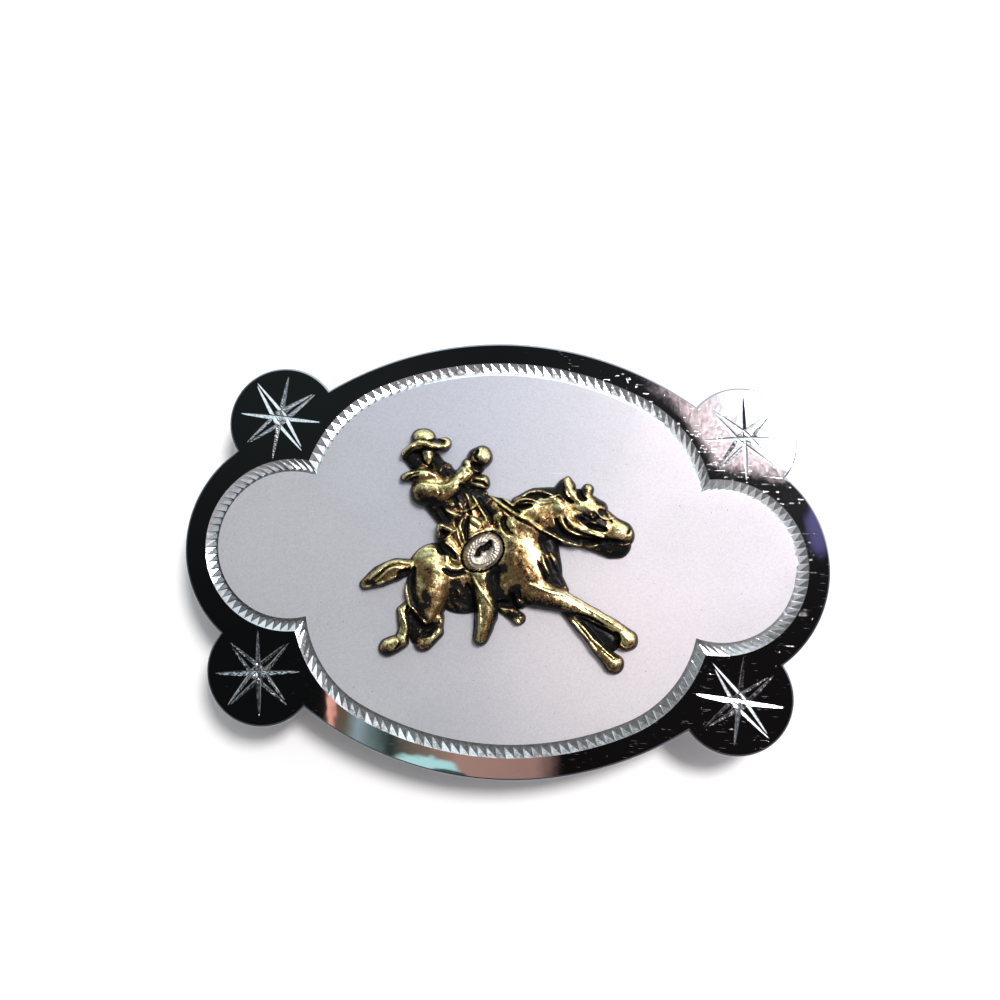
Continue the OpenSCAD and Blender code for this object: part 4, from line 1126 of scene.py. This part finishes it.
def wear_and_painted_light_of(height, depth, tone):
    """How worn each place is, from 0 in a recess to 1 on a high place, with painted light and shade added:
    brighter on gentle slopes facing the light, darker on steep sides and most on those turned from it, and
    the added tones of the drawn lines and broad places.
    """
    solid = (depth > 0).astype(float)
    total = np.zeros_like(height)
    for radius, weight in WEAR_ROUND:
        mean = soften(height * solid, radius) / np.maximum(soften(solid, radius), 1e-3)
        total += weight * (height - mean)
    gy, gx = np.gradient(height, CELL)
    slope = np.hypot(gx, gy) + 1e-6
    gentle = np.clip(slope / STEEP_SLOPE, 0, 1)
    steep = np.clip(slope - STEEP_SLOPE, 0, 1)
    # painted light and shade: gentle slopes facing the light (+Y, a little towards -X) are brightened,
    # steep sides darkened, most where they are turned from it
    faces_light = (0.3 * gx - gy) / slope
    worn = WEAR_BASE + total + 0.28 * gentle * faces_light - steep * (0.4 - 0.25 * faces_light) + tone
    low = np.clip((height - BLACK_LOW) / BLACK_OVER, 0, 1)
    return np.clip(worn, 0, 1) * (BLACK_LEFT + (1 - BLACK_LEFT) * low)


def relief_mesh():
    """The casting's skin: grid triangles inside the outline, cut at the outline, and a side wall."""
    height, depth, rope, tone = relief()
    wear = wear_and_painted_light_of(height, depth, tone)
    within = depth > 0
    count = int(within.sum())
    index = np.full(height.shape, -1)
    index[within] = np.arange(count)
    a, b, c, d = index[:-1, :-1], index[:-1, 1:], index[1:, 1:], index[1:, :-1]
    corners = np.stack([a, b, c, d]) >= 0
    full, some = corners.all(0), corners.any(0)
    falling = np.abs(height[:-1, :-1] - height[1:, 1:]) < np.abs(height[:-1, 1:] - height[1:, :-1])
    faces = []
    for mask, tris in ((falling, ((a, b, c), (a, c, d))), (~falling, ((a, b, d), (b, c, d)))):
        for tri in tris:
            faces.append(np.stack([t[full & mask] for t in tri], 1))
    crossings = {}

    def cross(p, q):
        """Number of the point where the outline passes between two neighbouring grid points."""
        key = (p, q) if p < q else (q, p)
        if key not in crossings:
            t = depth[p] / (depth[p] - depth[q])
            spot = [grid[p] + (grid[q] - grid[p]) * t for grid in (GX, GY)]
            crossings[key] = (count + len(crossings), spot)
        return crossings[key][0]

    edge_faces, rim = [], []
    for i, j in zip(*np.nonzero(some & ~full)):
        square = [(i, j), (i, j + 1), (i + 1, j + 1), (i + 1, j)]
        for tri in (square[:3], square[:1] + square[2:]):
            loop, cuts = [], []
            for p, q in zip(tri, tri[1:] + tri[:1]):
                if within[p]:
                    loop.append(int(index[p]))
                if within[p] != within[q]:
                    loop.append(cross(p, q))
                    cuts.append((loop[-1], bool(within[p])))
            if len(loop) >= 3:
                edge_faces += [(loop[0], loop[k], loop[k + 1]) for k in range(1, len(loop) - 1)]
            if len(cuts) == 2:
                (first, leaves), (second, _) = cuts
                rim.append((first, second) if leaves else (second, first))
    extra = np.array([spot for _, spot in crossings.values()])
    shift = len(extra)
    walls = []
    for p, q in rim:
        walls += [(q, p, p + shift), (q, p + shift, q + shift)]
    plan = np.vstack([np.column_stack([GX[within], GY[within]]), extra])
    rise = np.concatenate([height[within], np.full(shift, FLOOR_H)])
    # the camera sees high points further out, so each is drawn in by its own height
    eye = np.array(EYE[:2])
    plan = eye + (plan - eye) * (1 - rise[:, None] / REACH)
    top = np.column_stack([plan, rise + (TOP_Z + SEAT)])
    foot = np.column_stack([plan[count:], np.full(shift, TOP_Z + SEAT)])
    faces = np.vstack(faces + [np.array(edge_faces), np.array(walls)])
    wear, rope = (np.concatenate([a[within].astype(float), np.zeros(2 * shift)]) for a in (wear, rope))
    return np.vstack([top, foot]), faces, wear, rope


def build_rider():
    points, faces, worn, roped = relief_mesh()
    obj = make_object("rider_and_horse", points, faces.tolist(), [cast_brass],
                      smooth=[True] * len(faces))
    # wear carries real wear and patina together with painted light and shade
    for name, values in (("wear", worn), ("pale", roped)):
        layer = obj.data.attributes.new(name, "FLOAT", "POINT")
        layer.data.foreach_set("value", values.astype(np.float32))
    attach(obj, "root")
    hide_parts("rider_ornament")


build_rider()

# Loop and hook keep their solids
for node in ("belt_loop", "belt_hook"):
    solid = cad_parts[node]
    solid.data.materials.clear()
    solid.data.materials.append(satin_nickel)

# Floor
bpy.ops.mesh.primitive_plane_add(size=6, location=(0, 0, 0))
floor = bpy.context.object
floor.name = "floor"
floor.data.materials.append(paper_material())

# Soft surroundings: dark straight overhead, bright towards the sides.
# Brightness by bearing of the ring of light, and of the walls below it: north, east, west and all round
RING = (0.78, 0.4, 0.3, 0.12)
WALL = (0.25, 0.05, 0.0, 0.05)
# The dark cap overhead reaches this far east, west, north and south
CAP = (0.53, -0.64, 0.38, -0.32)
# Coloured things that the plate's lower border mirrors; columns: share of the strip, colour
STRIP_X, STRIP_LEN = -30.0, 45.0
STRIP = [
    (0.112, (0.0, 0.0, 0.0)),
    (0.118, (1.0, 0.48, 0.36)),
    (0.143, (0.62, 0.28, 0.22)),
    (0.149, (0.10, 0.07, 0.05)),
    (0.19, (0.12, 0.10, 0.07)),
    (0.24, (0.27, 0.36, 0.40)),
    (0.30, (0.10, 0.14, 0.14)),
    (0.345, (0.02, 0.03, 0.03)),
    (0.40, (0.10, 0.09, 0.07)),
    (0.56, (0.36, 0.22, 0.18)),
    (0.80, (0.33, 0.19, 0.165)),
    (0.87, (0.0, 0.0, 0.0)),
]
# Ovals over the strip, and a glow at the right; columns: middle, half sizes, where it starts and where
# it is full as the square of a share of its half size, colour
STRIP_OVALS = [
    ((-10.2, -31.2), (5.4, 2.2), 1.3, 0.6, (0.42, 0.72, 0.74)),
    ((-7.6, -31.6), (4.6, 0.8), 1.2, 0.8, (0.03, 0.07, 0.07)),
]
GLOW_OVALS = [((45.5, 7.0), (2.6, 4.5), 1.3, 0.2, (0.10, 0.09, 0.24))]


def colour_strip(tree, fac, stops):
    """A colour ramp from (position, colour) stops."""
    node = tree.nodes.new("ShaderNodeValToRGB")
    tree.links.new(fac, node.inputs["Fac"])
    elements = node.color_ramp.elements
    for element, (position, colour) in zip(elements, (stops[0], stops[-1])):
        element.position, element.color = position, (*colour, 1)
    for position, colour in stops[1:-1]:
        elements.new(position).color = (*colour, 1)
    return node.outputs["Color"]


def build_world():
    world = bpy.data.worlds.new("soft_studio")
    bpy.context.scene.world = world
    world.use_nodes = True
    tree = world.node_tree
    back = tree.nodes["Background"]
    coords = tree.nodes.new("ShaderNodeTexCoord")
    split = tree.nodes.new("ShaderNodeSeparateXYZ")
    tree.links.new(coords.outputs["Generated"], split.inputs[0])
    x, y, z = split.outputs

    def m(op, *values):
        return chain(tree, op, *values)

    def root(value):
        return math_node(tree, "SQRT", value)

    def squares(a, b):
        return m("ADD", m("MULTIPLY", a, a), m("MULTIPLY", b, b))

    def inverse(value):
        return m("SUBTRACT", 1.0, value)

    def by_bearing(shares):
        lit = [m("MULTIPLY", side, share) for side, share in zip((north, east, west), shares)]
        return m("ADD", *lit, shares[-1])

    up = m("MAXIMUM", z, 0.02)
    u, v = m("DIVIDE", x, up), m("DIVIDE", y, up)
    flat = m("MAXIMUM", root(squares(x, y)), 0.001)
    nx, ny = m("DIVIDE", x, flat), m("DIVIDE", y, flat)
    north = ramp(tree, ny, -0.35, 0.7)
    east = ramp(tree, nx, -0.3, 0.7)
    west = ramp(tree, nx, -0.1, -0.7)
    near = ramp(tree, z, 0.62, 0.74)
    level = m("ADD", m("MULTIPLY", by_bearing(RING), near), m("MULTIPLY", by_bearing(WALL), inverse(near)))
    # dark cap overhead, drawn out to the back left
    sides = zip((u, u, v, v), CAP)
    cap_e, cap_w, cap_n, cap_s = (m("DIVIDE", value, reach) for value, reach in sides)
    cap_u, cap_v = m("MAXIMUM", cap_e, cap_w), m("MAXIMUM", cap_n, cap_s)
    edge = m("ADD", m("POWER", cap_u, 4.0), m("POWER", cap_v, 4.0))
    back_left = m("MAXIMUM", m("MULTIPLY", m("SUBTRACT", ny, nx), 0.7), 0.0)
    edge = m("DIVIDE", edge, m("ADD", 1.0, m("MULTIPLY", m("POWER", back_left, 4.0), 2.5)))
    cap = ramp(tree, edge, 0.85, 1.5, 0.012, 1.0)
    # where a direction shows on the plate's face
    px, py = m("ADD", m("MULTIPLY", u, REACH), EYE[0]), m("ADD", m("MULTIPLY", v, REACH), EYE[1])

    def away(mid_x, mid_y, near_r, over):
        """0 within near_r of a place on the plate, 1 past a further stretch."""
        r = root(squares(m("SUBTRACT", px, mid_x), m("SUBTRACT", py, mid_y)))
        return ramp(tree, r, near_r, near_r + over)

    def painted(picture, ovals):
        for mid, half, start, full, colour in ovals:
            dx, dy = (m("DIVIDE", m("SUBTRACT", p, c), h) for p, c, h in zip((px, py), mid, half))
            picture = blend_colour(tree, ramp(tree, squares(dx, dy), start, full), picture, colour)
        return picture

    off_border = m("MULTIPLY", away(CORNER_X, CORNER_Y, CORNER_R + BORDER_W, 2.6),
                   away(FIELD_LOBE_X, 0, FIELD_LOBE_R + BORDER_W, 3))
    # a bright window seen in the corner disc on the right, and the mottled haze beside it
    join_uv = tree.nodes.new("ShaderNodeCombineXYZ")
    feed(tree, join_uv.inputs[0], m("MULTIPLY", u, 2.5))
    feed(tree, join_uv.inputs[1], v)
    streak = noise(tree, 110, 5, 0.75, where=join_uv.outputs[0])
    shift = m("MULTIPLY", m("SUBTRACT", streak, 0.5), 0.1)
    su, sv = m("ADD", u, shift), m("ADD", v, shift)
    pane = m("MULTIPLY", ramp(tree, m("ADD", u, v, shift), 0.495, 0.52), ramp(tree, sv, 0.155, 0.165))
    corner = m("MULTIPLY", ramp(tree, su, 0.235, 0.265), ramp(tree, sv, 0.215, 0.24))
    pane = m("MAXIMUM", pane, corner)
    haze = m("MULTIPLY", ramp(tree, su, 0.15, 0.25), ramp(tree, sv, 0.145, 0.175),
             ramp(tree, su, 0.37, 0.33), ramp(tree, streak, 0.33, 0.6, 0.35, 1.3), off_border)
    open_sky = m("MAXIMUM", m("MULTIPLY", level, cap), haze, m("MULTIPLY", pane, 1.5))
    cool = m("MAXIMUM", m("MULTIPLY", north, inverse(m("MULTIPLY", near, 0.1))), west)
    hazy = m("MULTIPLY", ramp(tree, haze, 0.0, 0.2), inverse(pane))
    tint = blend_colour(tree, cool, (0.98, 0.87, 0.92), (0.80, 0.95, 1.0))
    tint = blend_colour(tree, m("MULTIPLY", east, 0.55), tint, (1.0, 0.93, 0.98))
    tint = blend_colour(tree, hazy, tint, (1.0, 0.84, 0.88))
    sky = blend_colour(tree, 1.0, open_sky, tint, "MULTIPLY")
    # the coloured things, only where the lower border shows them
    strip = colour_strip(tree, m("DIVIDE", m("SUBTRACT", px, STRIP_X), STRIP_LEN), STRIP)
    where = m("MULTIPLY", ramp(tree, py, -19.5, -20.5), ramp(tree, py, -34.5, -33.5))
    picture = blend_colour(tree, where, (0.0, 0.0, 0.0), painted(strip, STRIP_OVALS))
    total = blend_colour(tree, 1.0, sky, painted(picture, GLOW_OVALS), "ADD")
    tree.links.new(total, back.inputs["Color"])
    back.inputs["Strength"].default_value = 1.1


build_world()

# Soft lights: columns are name, size, place, energy, colour and the rays that it doesn't light
LIGHTS = [
    ("key", 0.13, (0.17, 0.22, 0.46), 4.0, (1.0, 0.98, 0.97), "visible_glossy"),
    ("fill", 0.5, (-0.1, -0.1, 0.6), 0.8, (1.0, 0.98, 0.98), "visible_glossy"),
    ("sheen", 0.13, (0.24, 0.15, 0.46), 2.5, (1.0, 0.92, 0.97), "visible_diffuse"),
]


def build_lights():
    for name, size, where, energy, colour, unlit in LIGHTS:
        light = bpy.data.lights.new(name, "AREA")
        light.shape = "DISK"
        light.size = size
        light.energy = energy
        light.color = colour
        lamp = bpy.data.objects.new(name, light)
        lamp.location = Vector(where)
        lamp.rotation_mode = "QUATERNION"
        lamp.rotation_quaternion = (-lamp.location).to_track_quat("-Z", "Y")
        lamp.visible_camera = False
        setattr(lamp, unlit, False)
        bpy.context.scene.collection.objects.link(lamp)


build_lights()

# Camera
camera_data = bpy.data.cameras.new("camera")
camera_data.lens = LENS
camera_data.sensor_width = 36
camera_data.shift_y = SHIFT_Y
camera_data.clip_start = 0.005
camera_data.clip_end = 20
camera = bpy.data.objects.new("camera", camera_data)
bpy.context.scene.collection.objects.link(camera)
right, up = Vector(EYE_RIGHT).normalized(), Vector(EYE_UP).normalized()
back = right.cross(up).normalized()
up = back.cross(right)
eye_rows = [(right[k], up[k], back[k], EYE[k] * MM) for k in range(3)]
camera.matrix_world = Matrix((*eye_rows, (0, 0, 0, 1)))
bpy.context.scene.camera = camera
bpy.context.scene.view_settings.view_transform = "Standard"
